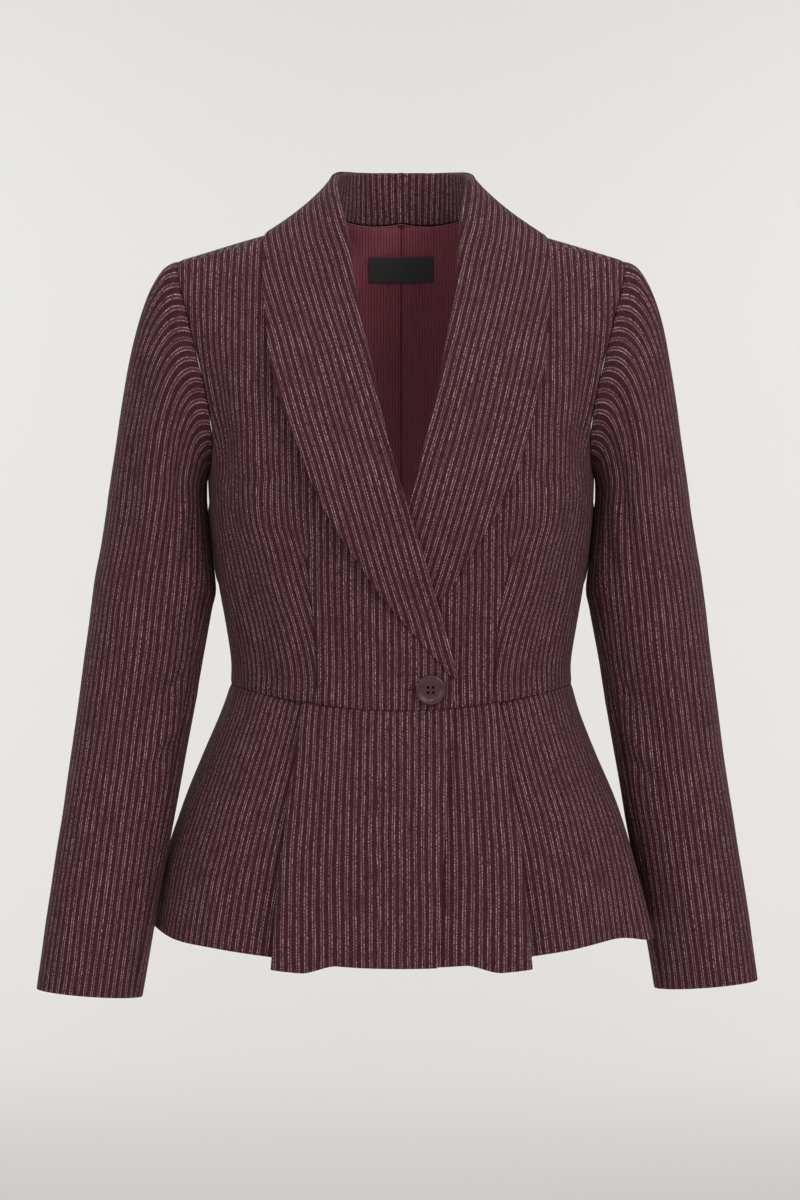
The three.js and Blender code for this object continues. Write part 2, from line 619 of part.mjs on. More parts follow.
// Section of the collar or lapel at a step: round the fold, then down to the outer edge
function collarSection(side, step) {
  const fold = foldPoint(side, step);
  const nudge = 0.05;
  const before = foldPoint(side, Math.max(step - nudge, 0));
  const after = foldPoint(side, Math.min(step + nudge, LAST_STEP));
  const along = after.sub(before).normalize();
  if (step < nudge) along.set(1, 0, 0);
  const seam = step < ROLL_STEP ? neckSeam(side, step).point : null;
  const rise = new THREE.Vector3();
  const normal = new THREE.Vector3();
  const x = openingAt(rollZ(side, step))[sideName(side)];
  const rollRow = rowAt(FRONT, side, x, rollZ(side, step));
  const onFront = bodyNormal(FRONT, side, rollRow, x);
  if (seam !== null) {
    rise.copy(fold).sub(seam).normalize();
    normal.crossVectors(along, rise).normalize();
    if (normal.dot(new THREE.Vector3(fold.x, fold.y - NECK_AXIS.y, 0)) < 0) normal.negate();
    const share = smooth(step, ROLL_STEP - 2, ROLL_STEP);
    const startX = openingAt(ROLL_START_Z).right;
    const start = bodyNormal(FRONT, side, rowAt(FRONT, side, startX, ROLL_START_Z), startX);
    normal.lerp(start, share).normalize();
  } else {
    normal.copy(onFront);
  }
  rise.crossVectors(along, normal).normalize();
  const inward = new THREE.Vector3(-1, 0, 0);
  if (seam !== null) inward.set(-fold.x, NECK_AXIS.y - fold.y, NECK_AXIS.z);
  if (rise.dot(inward) < 0) rise.negate();
  const radius = rollAt(step).radius;
  const twist = smooth(step, 5, 6.2) * smooth(-step, -7.8, -6.8);
  const section = spread(3, 0, Math.PI).map((angle) => {
    return fold.clone()
      .addScaledVector(rise, (1 + twist) * SEAM + radius * Math.sin(angle))
      .addScaledVector(normal, radius * (1 - Math.cos(angle)));
  });
  const start = section[3];
  const overRidgeSeam = 0.8 * smooth(step, 3, 4) * smooth(-step, -6.5, -5.2);
  const overChest = 0.3 * smooth(step, 10, 12);
  const lie = COLLAR_LIE + overRidgeSeam + overChest;
  const end = layOut(side, edgePoint(side, step), lie, true);
  const bow = mix(BACK_BULGE, SIDE_BULGE, smooth(step, 0.8, 2.8));
  const bulge = bow * smooth(-step, -ROLL_STEP - 1, -4.5);
  for (const q of [0.2, 0.4, 0.6, 0.8]) {
    const point = start.clone().lerp(end, q).addScaledVector(normal, bulge * 4 * q * (1 - q));
    const least = mix(lie, 2 * radius, (1 - q) ** 3);
    section.push(layOut(side, point, least, false));
  }
  section.push(end);
  return { section, ghost: fold.clone().addScaledVector(rise, SEAM - radius) };
}

const collarStations = [...spread(5, 0, RIDGE_STEP), ...spread(5, RIDGE_STEP, ROLL_STEP).slice(1)];

function collar(side) {
  const steps = [...collarStations, ...spread(15, ROLL_STEP, LAST_STEP).slice(1)];
  const sections = steps.map((step) => collarSection(side, step));
  const grid = sections.map(({ section }) => section.map((point) => place(side, point)));
  const first = { gap: SEAM / 2, ghost: overCentre(grid[1]) };
  const start = { ghost: sections.map(({ ghost }) => place(side, ghost)) };
  return wall(grid, FACING / 2, -FACING / 2, { first, start });
}

// Stand of the collar, from the neck seam up to the fold, round the whole neck
function collarStand() {
  const rows = [];
  const station = (side, step) => {
    const { point, run } = neckSeam(side, step);
    const fold = foldPoint(side, step);
    const rise = fold.clone().sub(point).normalize();
    const start = point.addScaledVector(rise, (step > 3.9 ? 4 : 2) * SEAM + clearance(run, rise));
    rows.push([0, 0.34, 0.67, 1].map((share) => place(side, start.clone().lerp(fold, share))));
  };
  const stations = collarStations.filter((step) => step < 6.5);
  for (const step of stations.slice().reverse()) station(RIGHT, step);
  for (const step of stations.slice(1)) station(LEFT, step);
  return wall(rows, CLOTH / 2, -CLOTH / 2);
}

// Point of the armhole at an angle round the sleeve: 0 at the shoulder, 180 under the arm
function walk(half) {
  const rows = spread(60, 0, UNDERARM_ROW);
  const points = rows.map((row) => rowEnd(half, row === UNDERARM_ROW ? row - 1e-6 : row));
  const lengths = [0];
  for (let i = 1; i < points.length; i += 1) {
    const a = new THREE.Vector3(points[i].x, points[i].y, points[i].z);
    const b = new THREE.Vector3(points[i - 1].x, points[i - 1].y, points[i - 1].z);
    lengths.push(lengths[i - 1] + a.distanceTo(b));
  }
  return (share) => {
    const length = share * lengths[lengths.length - 1];
    let i = 1;
    while (i < lengths.length - 1 && lengths[i] < length) i += 1;
    return mix(rows[i - 1], rows[i], (length - lengths[i - 1]) / (lengths[i] - lengths[i - 1]));
  };
}
const armholeRow = { front: walk(FRONT), back: walk(BACK) };

// Section of the sleeve below the cap
function sleeveRing(side, z, angle) {
  const section = sleeveAt(z);
  const step = 5;
  const ahead = sleeveAt(Math.max(z - step, CUFF_Z));
  const behind = sleeveAt(Math.min(z + step, CAP_END_Z));
  const axis = new THREE.Vector3(ahead.x - behind.x, 0, -2 * step).normalize();
  const out = new THREE.Vector3(-axis.z, 0, axis.x);
  const turn = radians(angle);
  const narrow = side === LEFT ? LEFT_NARROW * smooth(z, CUFF_Z, -390) : 0;
  const half = Math.cos(turn) > 0 ? section.out - narrow : section.in;
  const forward = side === LEFT ? LEFT_FORWARD : 1;
  const top = sleeveSections[0].y;
  const level = smooth(-z, -CAP_END_Z, 306);
  const point = new THREE.Vector3(section.x, mix(top, section.y, forward), z);
  point.addScaledVector(out, half * Math.cos(turn));
  point.y -= section.deep * Math.sin(turn);
  if (level < 1) point.z = mix(z, point.z, level);
  return point;
}

// Cap of the sleeve, from the armhole seam (0) to the first section (1)
function sleeveCap(side, share, angle) {
  const around = ((angle % 360) + 360) % 360;
  const half = around <= 180 ? FRONT : BACK;
  const name = around <= 180 ? 'front' : 'back';
  const fromShoulder = (around <= 180 ? around : 360 - around) / 180;
  const row = Math.min(armholeRow[name](fromShoulder), UNDERARM_ROW - 1e-6);
  const seam = rowEnd(half, row);
  const start = new THREE.Vector3(seam.x, seam.y, seam.z);
  const inside = bodyPoint(half, side, row, xAt(half, row, 0.96));
  const run = start.clone().sub(inside).normalize();
  const turn = radians(around);
  const leave = new THREE.Vector3(1, -CAP_FORWARD * Math.sin(turn), CAP_LIFT * Math.cos(turn)).normalize();
  start.addScaledVector(leave, 1.5 * SEAM + clearance(run, leave));
  if (around > 120 && around < 240) start.z += (CLOTH / 2) * smooth(-Math.abs(around - 180), -60, -20);
  const end = sleeveRing(side, CAP_END_Z, angle);
  const reach = end.distanceTo(start);
  const land = new THREE.Vector3(0.15 * Math.max(Math.cos(turn), 0), 0, -1).normalize();
  const s = share;
  const launchTerm = s * (1 - s) ** 2;
  const landTerm = s * s * (s - 1);
  return start.multiplyScalar((1 + 2 * s) * (1 - s) ** 2)
    .addScaledVector(end, s * s * (3 - 2 * s))
    .addScaledVector(leave, CAP_LAUNCH * reach * launchTerm)
    .addScaledVector(land, CAP_LAND * reach * landTerm);
}

function sleeve(side, from, to, count) {
  const step = (to - from) / count;
  const angles = spread(count + 2, from - step, to + step);
  const caps = [0, 0.1, 0.24, 0.4, 0.58, 0.78].map((share) => {
    return angles.map((angle) => place(side, sleeveCap(side, share, angle)));
  });
  const levels = [CAP_END_Z, -250, -280, -315, -355, -390, -430, -472, -525, -578, CUFF_Z];
  const rings = levels.map((z) => angles.map((angle) => place(side, sleeveRing(side, z, angle))));
  const all = [...caps, ...rings];
  const start = { gap: SEAM / 2, ghost: all.map((row) => row[0]) };
  const end = { gap: SEAM / 2, ghost: all.map((row) => row[row.length - 1]) };
  const face = CLOTH / 2;
  return wall(all.map((row) => row.slice(1, -1)), face, -face, { start, end });
}

// Point of the peplum's ring at x, moved out from it and dropped
function ringPoint(half, side, down, x, out, drop) {
  const ring = ringAt(down);
  const reach = side === LEFT ? ring.left : ring.side;
  const centre = half === FRONT ? ring.front : ring.back;
  const centreZ = half === FRONT ? ring.frontZ : ring.backZ;
  const share = Math.min(Math.abs(x) / reach, 1);
  const depth = (1 - share ** PEPLUM_SQUARE) ** (1 / PEPLUM_SQUARE);
  const power = PEPLUM_SQUARE - 1;
  const normal = new THREE.Vector3(Math.sign(x) * share ** power / reach, depth ** power / centre, 0);
  normal.normalize();
  const point = new THREE.Vector3(x, centre * depth, mix(centreZ, ring.sideZ, share ** 2) - drop);
  return point.addScaledVector(normal, out);
}

// Soft flutes between the pleat and the side seam, in degrees from the centre line
const flutes = [
  { half: 'front', side: RIGHT, at: 58, width: 12, high: 3.5 },
  { half: 'front', side: LEFT, at: 73, width: 9, high: 14 },
  { half: 'back', side: RIGHT, at: 52, width: 13, high: 4 },
  { half: 'back', side: LEFT, at: 56, width: 12, high: 3 },
];

function fluteOut(half, side, down, degrees) {
  const name = half === FRONT ? 'front' : 'back';
  const own = flutes.filter((flute) => flute.half === name && flute.side === side);
  const height = ({ at, width, high }) => high * Math.exp(-(((degrees - at) / width) ** 2));
  return down ** 2 * own.reduce((sum, flute) => sum + height(flute), 0);
}

// One row of a peplum quarter: outer layer, fold, return, inner turn, side panel
function peplumRow(half, side, down) {
  const ring = ringAt(down);
  const { fold, turn } = ring;
  const reach = side === LEFT ? ring.left : ring.side;
  const edge = half === FRONT ? mix(FRONT_EDGE_TOP, FRONT_EDGE_HEM, down) : 0;
  const lapAt = (x, z) => (half === FRONT ? lapLift(side, x, z) : 0);
  const row = [];
  for (const x of spread(7, edge, fold)) {
    const near = smooth(x, fold - PLEAT_EASE, fold);
    const drop = PLEAT_DROP * down * smooth(x, fold - PLEAT_EASE, fold - 18);
    row.push(ringPoint(half, side, down, x, 2 * turn * near + lapAt(x, ring.frontZ), drop));
  }
  const outTurn = (angle) => [fold + turn * Math.sin(angle), turn * (1 + Math.cos(angle))];
  const innerFold = fold - PLEAT_RETURN;
  const inTurn = (angle) => [innerFold - turn * Math.sin(angle), -turn * (1 - Math.cos(angle))];
  const fallAt = (x) => PLEAT_DROP * down * clamp((x - innerFold) / PLEAT_RETURN, 0, 1);
  for (const angle of [Math.PI / 3, (2 * Math.PI) / 3, Math.PI]) {
    const [x, out] = outTurn(angle);
    row.push(ringPoint(half, side, down, x, out, fallAt(x)));
  }
  for (const angle of [0, Math.PI / 3, (2 * Math.PI) / 3, Math.PI]) {
    const [x, out] = inTurn(angle);
    row.push(ringPoint(half, side, down, x, out, fallAt(x)));
  }
  const firstAngle = Math.asin((innerFold / reach) ** (PEPLUM_SQUARE / 2));
  for (const angle of spread(11, firstAngle, Math.PI / 2).slice(1)) {
    const x = reach * Math.sin(angle) ** (2 / PEPLUM_SQUARE);
    const under = -2 * turn * (1 - smooth(x, fold - 4, fold + PLEAT_EASE));
    const flute = fluteOut(half, side, down, THREE.MathUtils.radToDeg(angle));
    row.push(ringPoint(half, side, down, x, under + flute, FLUTE_FALL * flute));
  }
  return row.map((point) => place(side, point));
}

function peplum(half, side) {
  const grid = [0, 0.07, 0.18, 0.32, 0.48, 0.65, 0.82, 1].map((down) => peplumRow(half, side, down));
  const centre = { gap: SEAM / 2, ghost: overCentre(grid.map((row) => row[1])) };
  const start = half === BACK ? centre : {};
  return wall(grid, FACING / 2, -FACING / 2, { first: SEAMED, start, end: SEAMED });
}

// A closed mesh as an exact solid, for cutting
function exact(geometry) {
  const bare = geometry.clone();
  bare.deleteAttribute('normal');
  bare.deleteAttribute('uv');
  const merged = mergeVertices(bare);
  const mesh = new wasm.Mesh({
    numProp: 3,
    vertProperties: new Float32Array(merged.attributes.position.array),
    triVerts: new Uint32Array(merged.index.array),
  });
  return new wasm.Manifold(mesh);
}

// Button: a turned disc with a raised rim and four holes
function button() {
  const { radius, thick } = BUTTON;
  const dish = BUTTON_DISH.radius;
  const rim = (radius - dish) / 2;
  const floor = thick - BUTTON_DISH.sunk;
  const profile = [
    [0, 0], [radius - 1.2, 0], [radius - 0.3, 0.6], [radius, thick * 0.5], [radius - 0.4, thick * 0.85],
    [radius - rim, thick], [dish, thick - 0.35], [dish - 1, floor], [0, floor],
  ];
  const disc = new THREE.LatheGeometry(profile.map(([r, z]) => new THREE.Vector2(r, z)), 28);
  let body = exact(disc);
  const hole = BUTTON_HOLES.radius;
  const off = BUTTON_HOLES.pitch / 2;
  for (const dx of [-off, off]) {
    for (const dz of [-off, off]) {
      const drill = new THREE.CylinderGeometry(hole, hole, 3 * thick, 8);
      drill.translate(dx, 0, dz);
      body = body.subtract(exact(drill));
    }
  }
  const cut = body.getMesh();
  const geometry = new THREE.BufferGeometry();
  geometry.setAttribute('position', new THREE.Float32BufferAttribute(cut.vertProperties, 3));
  geometry.setIndex(Array.from(cut.triVerts));
  geometry.computeVertexNormals();
  return geometry;
}

// Materials from the cloth, lining, label and button
const wool = new THREE.MeshStandardMaterial({ color: '#4f3136', roughness: 0.9, metalness: 0 });
const satin = new THREE.MeshStandardMaterial({ color: '#5f2c37', roughness: 0.45, metalness: 0 });
const ribbon = new THREE.MeshStandardMaterial({ color: '#222423', roughness: 0.8, metalness: 0 });
const resin = new THREE.MeshStandardMaterial({ color: '#4a2730', roughness: 0.25, metalness: 0 });

const jacket = new THREE.Group();

function add(name, geometry, material) {
  const mesh = new THREE.Mesh(geometry, material);
  mesh.name = name;
  jacket.add(mesh);
  return mesh;
}

for (const side of [RIGHT, LEFT]) {
  const name = sideName(side);
  add(`front_${name}`, frontPanel(side), wool);
  add(`back_${name}`, backPanel(side), wool);
  add(`collar_lapel_${name}`, collar(side), wool);
  add(`upper_sleeve_${name}`, sleeve(side, BACK_SLEEVE_SEAM - 360, FRONT_SLEEVE_SEAM, 12), wool);
  add(`under_sleeve_${name}`, sleeve(side, FRONT_SLEEVE_SEAM, BACK_SLEEVE_SEAM, 7), wool);
  add(`peplum_front_${name}`, peplum(FRONT, side), wool);
  add(`peplum_back_${name}`, peplum(BACK, side), wool);
  add(`lining_back_${name}`, liningPanel(side), satin);
}
add('collar_stand', collarStand(), wool);
add('label', label(), ribbon);

// The button lies on the right front, turned to its surface
const buttonMesh = add('button', button(), resin);
const buttonX = -BUTTON.x;
const buttonRow = rowAt(FRONT, RIGHT, buttonX, BUTTON.z);
const buttonNormal = place(RIGHT, bodyNormal(FRONT, RIGHT, buttonRow, buttonX));
buttonMesh.quaternion.setFromUnitVectors(new THREE.Vector3(0, 1, 0), buttonNormal);
buttonMesh.position.copy(place(RIGHT, bodyPoint(FRONT, RIGHT, buttonRow, buttonX)));
buttonMesh.position.addScaledVector(buttonNormal, CLOTH / 2 + SEAM);

export default jacket;
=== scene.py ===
# Peplum jacket in pinstripe wool, dressed over its solids
import math

import bmesh
import bpy
from mathutils import Matrix, Vector, noise
from mathutils.bvhtree import BVHTree


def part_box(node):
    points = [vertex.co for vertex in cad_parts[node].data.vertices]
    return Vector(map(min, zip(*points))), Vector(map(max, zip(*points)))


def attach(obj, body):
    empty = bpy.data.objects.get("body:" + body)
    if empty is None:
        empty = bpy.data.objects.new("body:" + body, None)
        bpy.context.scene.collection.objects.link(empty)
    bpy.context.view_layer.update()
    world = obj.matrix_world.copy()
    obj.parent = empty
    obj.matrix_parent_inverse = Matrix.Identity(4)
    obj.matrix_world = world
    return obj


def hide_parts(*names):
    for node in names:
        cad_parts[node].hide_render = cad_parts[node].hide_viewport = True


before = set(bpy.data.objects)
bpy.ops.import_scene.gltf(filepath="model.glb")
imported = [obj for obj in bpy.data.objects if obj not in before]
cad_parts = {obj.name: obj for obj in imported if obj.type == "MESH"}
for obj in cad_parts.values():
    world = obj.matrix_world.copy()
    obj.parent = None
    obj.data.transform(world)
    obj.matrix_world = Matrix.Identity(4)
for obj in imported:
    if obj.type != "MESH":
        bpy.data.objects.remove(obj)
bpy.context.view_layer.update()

# The body is worked out in millimetres on a half: x counts outward from the centre line,
# +Z is up and the front faces -Y. Right and left are the wearer's.
MM = 0.001
RIGHT = -1
LEFT = 1
CLOTH = 1.8  # shell cloth with its fusing
FACING = 1.6  # collar, lapels and the pleated peplum
LINING = 0.8
SEAM = 0.3  # what parts two pieces where they are sewn together

UNDERARM_ROW = 7
WAIST_ROW = 12
NECK_HALF = 60
NECK_ROW = 0.5
NECK_BELL = 2.2  # how flat the neck's line is at its middle
NECK_PACE = 1.3  # the neck seam's steps lie closer together near the shoulder
RIDGE_STEP = 4  # here the collar crosses the shoulder seam
ROLL_STEP = 7  # here the collar's fold becomes the roll line of the lapel
LAST_STEP = 20
ROLL_START_Z = -45
ROLL_END_Z = {RIGHT: -369, LEFT: -352}
ROLL_EDGE_DROP = 46
BACK_BULGE = 4  # how far the collar bows out between fold and edge at the back
SIDE_BULGE = -3  # and hollows over the shoulders
CAP_END_Z = -222
CUFF_Z = -629
SLEEVE_SEAMS = (150, 242)  # degrees from the top of the arm, forward
BUTTON_BOX = [Vector(corner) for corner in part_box("button")]


def table(names, *rows):
    return [dict(zip(names.split(), row)) for row in rows]


# Front edge of each half: the neck seam, the roll line, then the edge below the button
FRONT_OPENING = table(
    "z right left", (15.4, 60, 60), (-1, 56, 57.5), (-25, 48, 53), (-45, 42, 49), (-80, 35.5, 43),
    (-115, 27, 36.4), (-160, 17.5, 26), (-205, 5.5, 15), (-245, -7.3, 4), (-303, -25.4, -17),
    (-350, -38.8, -34), (-372, -44.5, -42.5), (-397, -41, -41),
)
LAPEL_EDGE = table(
    "z right left", (-16, 113.5, 121), (-65, 111, 121), (-98, 106.3, 117.5), (-136, 97.6, 109.8),
    (-183, 80.4, 97.8), (-227, 60.6, 80), (-268, 37.6, 56), (-303, 15, 33), (-340, -15.7, -16),
    (-355, -29, -34), (-372, -43, -42),
)
FRONT_ARMHOLE = table(
    "row x y z", (0, 186, -6, -22.6), (0.5, 186, -22, -28), (1, 184, -33, -43), (2, 176, -46, -73),
    (3, 167, -55, -108), (4, 158.5, -58, -144), (5, 155.5, -48, -174), (6, 157, -33, -191.5),
    (7, 161, -2, -205),
)
BACK_ARMHOLE = table(
    "row x y z", (0, 186, -6, -22.6), (0.5, 186, 9, -27.2), (1, 184, 21, -43), (2, 178, 35, -75),
    (3, 171, 45, -110), (4, 164, 47, -145), (5, 159, 38, -175), (6, 158.5, 24, -191.5),
    (7, 161, -2, -205),
)
SIDE_SEAM = table(
    "row x y z", (7, 161, -2, -205), (8, 158.5, 0, -246), (9, 153, 0, -288), (10, 146, 0, -326),
    (11, 141.5, 0, -356), (12, 142, 0, -376),
)
CENTRES = "row y z turn bend neck square"
FRONT_CENTRE = table(
    CENTRES,
    (0, -6, 33.4, 60, 1, 0, 2.3), (0.5, -24, 25, 60, 1.05, 0, 2.3), (1, -44, 5, 60, 1.2, 0, 2.3),
    (2, -74, -42, 62, 1.5, 0, 2.3), (3, -97, -92, 62, 1.8, 0, 2.3), (4, -113, -136, 64, 2, 0, 2.45),
    (5, -121, -172, 70, 2, 0, 2.7), (6, -124.8, -192.5, 78, 2, 0, 2.85), (7, -126.5, -212, 88, 2, 0, 2.6),
    (8, -122, -251, 90, 2, 0, 2.55), (9, -113.5, -295, 90, 2, 0, 2.45), (10, -107, -335, 90, 2, 0, 2.35),
    (11, -105, -370, 90, 2, 0, 2.25), (12, -105.5, -395.5, 90, 2, 0, 2.2),
)
BACK_CENTRE = table(
    CENTRES,
    (0, 42, 33.4, 60, 1, 1, 2.3), (0.5, 58, 16.2, 60, 1.05, 0.6, 2.3), (1, 70, -5, 60, 1.2, 0.25, 2.3),
    (2, 90, -47, 62, 1.5, 0, 2.3), (3, 101, -94, 62, 1.8, 0, 2.3), (4, 105, -138, 64, 2, 0, 2.45),
    (5, 105, -173, 70, 2, 0, 2.7), (6, 104, -193, 78, 2, 0, 2.85), (7, 103, -211, 88, 2, 0, 2.6),
    (8, 98, -250, 90, 2, 0, 2.55), (9, 93.5, -294, 90, 2, 0, 2.45), (10, 91.5, -333, 90, 2, 0, 2.35),
    (11, 93, -365, 90, 2, 0, 2.25), (12, 96.5, -388, 90, 2, 0, 2.2),
)
COLLAR = table(
    "step foldX foldY foldZ edgeX edgeY edgeZ seam",
    (0, 0, 65, 57.4, 0, 80, -8, 0), (1, 27, 59, 57, 41, 76, -7.5, 26), (2, 43, 42, 55.3, 79, 57, -5, 45),
    (3, 51, 19, 51, 103, 25, 1, 55), (4, 53, -4, 44.5, 112, -6, 4.6, 18),
    (5, 51.5, -26, 32, 113.5, -36, -16, 4), (6, 47.5, -51, 6, 113, -54, -43, -18),
)
ROLL_RADIUS = table("step radius", (0, 3.2), (5, 3), (8, 2.8), (11, 2.2), (13, 1.4), (20, 1.3))
SLEEVES = table(
    "z x y out in deep",
    (-222, 195.5, -5, 49.5, 32, 55), (-262, 201, -8, 49.5, 42.2, 53), (-290, 205.5, -10, 49.5, 50.4, 51),
    (-306, 208, -12, 49, 49.5, 50), (-390, 220.5, -21, 47, 47.5, 45), (-472, 233, -33, 45, 46, 41),
    (-550, 245, -44, 44, 44, 36.5), (-629, 257, -54, 42.5, 43, 32.5),
)
LEFT_NARROW = 4  # the left sleeve's outer half is this much narrower at the cap
LEFT_FORWARD = -0.3  # the left sleeve's share of the right sleeve's swing to the front
PEPLUM = table(
    "down right left sideZ front frontZ back backZ fold turn",
    (0, 142, 142, -376, -105.5, -395.5, 96.5, -388, 77, 1.5),
    (0.12, 150.5, 149, -400, -111, -420, 102, -413, 80.5, 1.8),
    (0.3, 166, 163, -436, -119, -457, 111, -450, 85, 2.3),
    (0.5, 182, 179.5, -476, -127, -498, 121, -492, 90, 2.9),
    (0.75, 198, 193.5, -526, -134, -549, 131, -544, 95, 3.5),
    (1, 207.5, 202, -576, -139, -600, 138, -596, 98.5, 4.2),
)
PEPLUM_SQUARE = 2.2
PLEAT_RETURN = 22
PLEAT_EASE = 48
PLEAT_DROP = 8
FLUTE_FALL = 0.55  # a flute hangs lower by this share of its height
FRONT_EDGE = (-41, -28)  # front edge of the peplum at its top and hem
FLUTES = table(
    "half side at width high", ("front", RIGHT, 58, 12, 3.5), ("front", LEFT, 73, 9, 14),
    ("back", RIGHT, 52, 13, 4), ("back", LEFT, 56, 12, 3),
)

# Waist darts, by row: where each runs, in x outward from the centre
DARTS = {
    ("front", RIGHT): table(
        "row x", (0, 122), (3, 108), (6, 90), (8.5, 77), (9.4, 73), (10.2, 70), (12, 67.5),
    ),
    ("front", LEFT): table(
        "row x", (0, 126), (3, 113), (6, 98), (8.5, 88), (9.4, 81), (10.2, 77.5), (12, 74),
    ),
    ("back", RIGHT): table("row x", (0, 112), (4, 92), (7, 80), (12, 66)),
    ("back", LEFT): table("row x", (0, 112), (4, 92), (7, 80), (12, 66)),
}
DART_TIP_ROW = {"front": 8.5, "back": 5.2}

# Soft creases: from one place to another, how high (a trough is negative) and how wide.
# On the body they are (x, z), on a sleeve (degrees, z), on the peplum (column, down) in mm
CREASES = "from_a from_b to_a to_b high width"
BODY_CREASES = {
    ("front", RIGHT): table(
        CREASES,
        (150, -120, 140, -215, -2.2, 9), (133, -95, 118, -235, 1.6, 13), (118, -150, 92, -290, -1.8, 10),
        (104, -230, 96, -345, 1.4, 11), (146, -225, 112, -330, -1.5, 10), (128, -290, 104, -385, -1.2, 9),
        (64, -270, 50, -375, -1.3, 12), (30, -330, 4, -384, -0.8, 8),
    ),
    ("front", LEFT): table(
        CREASES,
        (152, -118, 141, -205, -2.0, 9), (137, -92, 124, -240, 1.5, 12), (122, -160, 100, -285, -1.5, 11),
        (112, -235, 101, -340, 1.2, 10), (147, -232, 118, -318, -1.6, 10), (124, -300, 106, -385, -1.1, 8),
        (62, -285, 47, -380, -1.2, 12),
    ),
    ("back", RIGHT): table(
        CREASES,
        (152, -110, 138, -220, -2.2, 10), (128, -90, 116, -240, 1.6, 13), (104, -170, 88, -320, -1.6, 11),
        (46, -290, 38, -380, -1.3, 12), (140, -240, 108, -345, -1.4, 9), (20, -345, 112, -372, -1.0, 7),
    ),
    ("back", LEFT): table(
        CREASES,
        (150, -116, 136, -212, -2.0, 9), (126, -84, 112, -230, 1.5, 12), (100, -180, 84, -330, -1.5, 12),
        (50, -300, 36, -384, -1.1, 11), (138, -250, 110, -336, -1.6, 10), (28, -352, 118, -364, -0.9, 7),
    ),
}
SLEEVE_CREASES = {
    RIGHT: table(
        CREASES,
        (100, -60, 92, -190, -2.6, 8), (72, -90, 80, -250, 2.2, 10), (122, -130, 96, -330, -2.8, 9),
        (55, -130, 62, -300, -2.0, 9), (140, -230, 118, -300, -2.2, 7), (84, -280, 76, -430, 2.0, 11),
        (66, -330, 60, -470, -1.8, 9), (104, -360, 112, -500, -1.6, 10), (168, -352, 112, -392, -2.4, 8),
        (172, -385, 120, -430, 1.8, 8), (165, -412, 104, -452, -2.0, 8), (90, -500, 84, -600, 1.2, 12),
        (250, -90, 262, -240, -2.2, 10), (290, -120, 282, -320, 2.0, 12), (232, -330, 276, -410, -2.4, 9),
        (236, -400, 280, -450, 1.8, 9), (318, -200, 322, -420, -1.6, 12), (270, -460, 266, -590, -1.4, 11),
    ),
    LEFT: table(
        CREASES,
        (104, -66, 96, -200, -2.4, 8), (76, -80, 84, -240, 2.0, 11), (126, -140, 100, -310, -2.6, 9),
        (58, -140, 64, -310, -1.8, 10), (142, -236, 122, -306, -2.0, 7), (88, -290, 80, -440, 1.8, 11),
        (68, -340, 64, -460, -1.6, 9), (108, -370, 114, -490, -1.6, 10), (168, -360, 114, -398, -2.6, 8),
        (170, -392, 118, -436, 1.8, 8), (166, -424, 108, -462, -1.8, 7), (92, -510, 88, -604, 1.2, 12),
        (252, -96, 264, -250, -2.0, 10), (292, -110, 286, -310, 1.8, 12), (230, -338, 274, -416, -2.2, 9),
        (238, -404, 282, -456, 1.6, 9), (316, -210, 320, -410, -1.5, 12), (272, -470, 268, -596, -1.3, 11),
    ),
}


def mix(a, b, share):
    return a + (b - a) * share


def clamp(value, low, high):
    return min(max(value, low), high)


def smooth(value, start, end):
    share = clamp((value - start) / (end - start), 0, 1)
    return share * share * (3 - 2 * share)


def signed_power(value, power):
    return math.copysign(abs(value) ** power, value)


def bump(offset, width):
    return math.exp(-((offset / width) ** 2))


def spread(count, start, end):
    return [mix(start, end, i / count) for i in range(count + 1)]


SAMPLES = 1500


def columns(rows, key):
    """Reader of a table: smooth curves through its columns, sampled once."""
    if rows[0][key] > rows[-1][key]:
        rows = rows[::-1]
    names = [name for name in rows[0] if name != key]
    keys = [row[key] for row in rows]
    last = len(rows) - 1

    def exact(name, at):
        i = 0
        while i < last - 1 and at > keys[i + 1]:
            i += 1
        step = keys[i + 1] - keys[i]
        s = (at - keys[i]) / step

        def slope(j):
            before, after = max(j - 1, 0), min(j + 1, last)
            return step * (rows[after][name] - rows[before][name]) / (keys[after] - keys[before])

        a, b = rows[i][name], rows[i + 1][name]
        rest = 3 * (b - a) - 2 * slope(i) - slope(i + 1)
        return a + s * (slope(i) + s * (rest + s * (2 * (a - b) + slope(i) + slope(i + 1))))

    places = spread(SAMPLES, keys[0], keys[-1])
    tracks = [(name, [exact(name, at) for at in places]) for name in names]

    def read(value):
        at = clamp((value - keys[0]) / (keys[-1] - keys[0]), 0, 1) * SAMPLES
        i = min(int(at), SAMPLES - 1)
        return {name: mix(track[i], track[i + 1], at - i) for name, track in tracks}

    return read


side_at = columns(SIDE_SEAM, "row")
armhole_at = {"front": columns(FRONT_ARMHOLE, "row"), "back": columns(BACK_ARMHOLE, "row")}
centre_at = {"front": columns(FRONT_CENTRE, "row"), "back": columns(BACK_CENTRE, "row")}
opening_at = columns(FRONT_OPENING, "z")
lapel_at = columns(LAPEL_EDGE, "z")
collar_at = columns(COLLAR, "step")
roll_at = columns(ROLL_RADIUS, "step")
sleeve_at = columns(SLEEVES, "z")
ring_at = columns(PEPLUM, "down")
dart_at = {key: columns(rows, "row") for key, rows in DARTS.items()}
NAMES = {RIGHT: "right", LEFT: "left"}


def row_end(half, row):
    return armhole_at[half](row) if row < UNDERARM_ROW else side_at(row)


def lap_lift(half, side, x, z):
    """How far the right front is pushed out over the left front and its lapel."""
    if half == "back" or side == LEFT:
        return 0
    return 6.4 * smooth(-x, -84, -24) * smooth(-z, 130, 240)


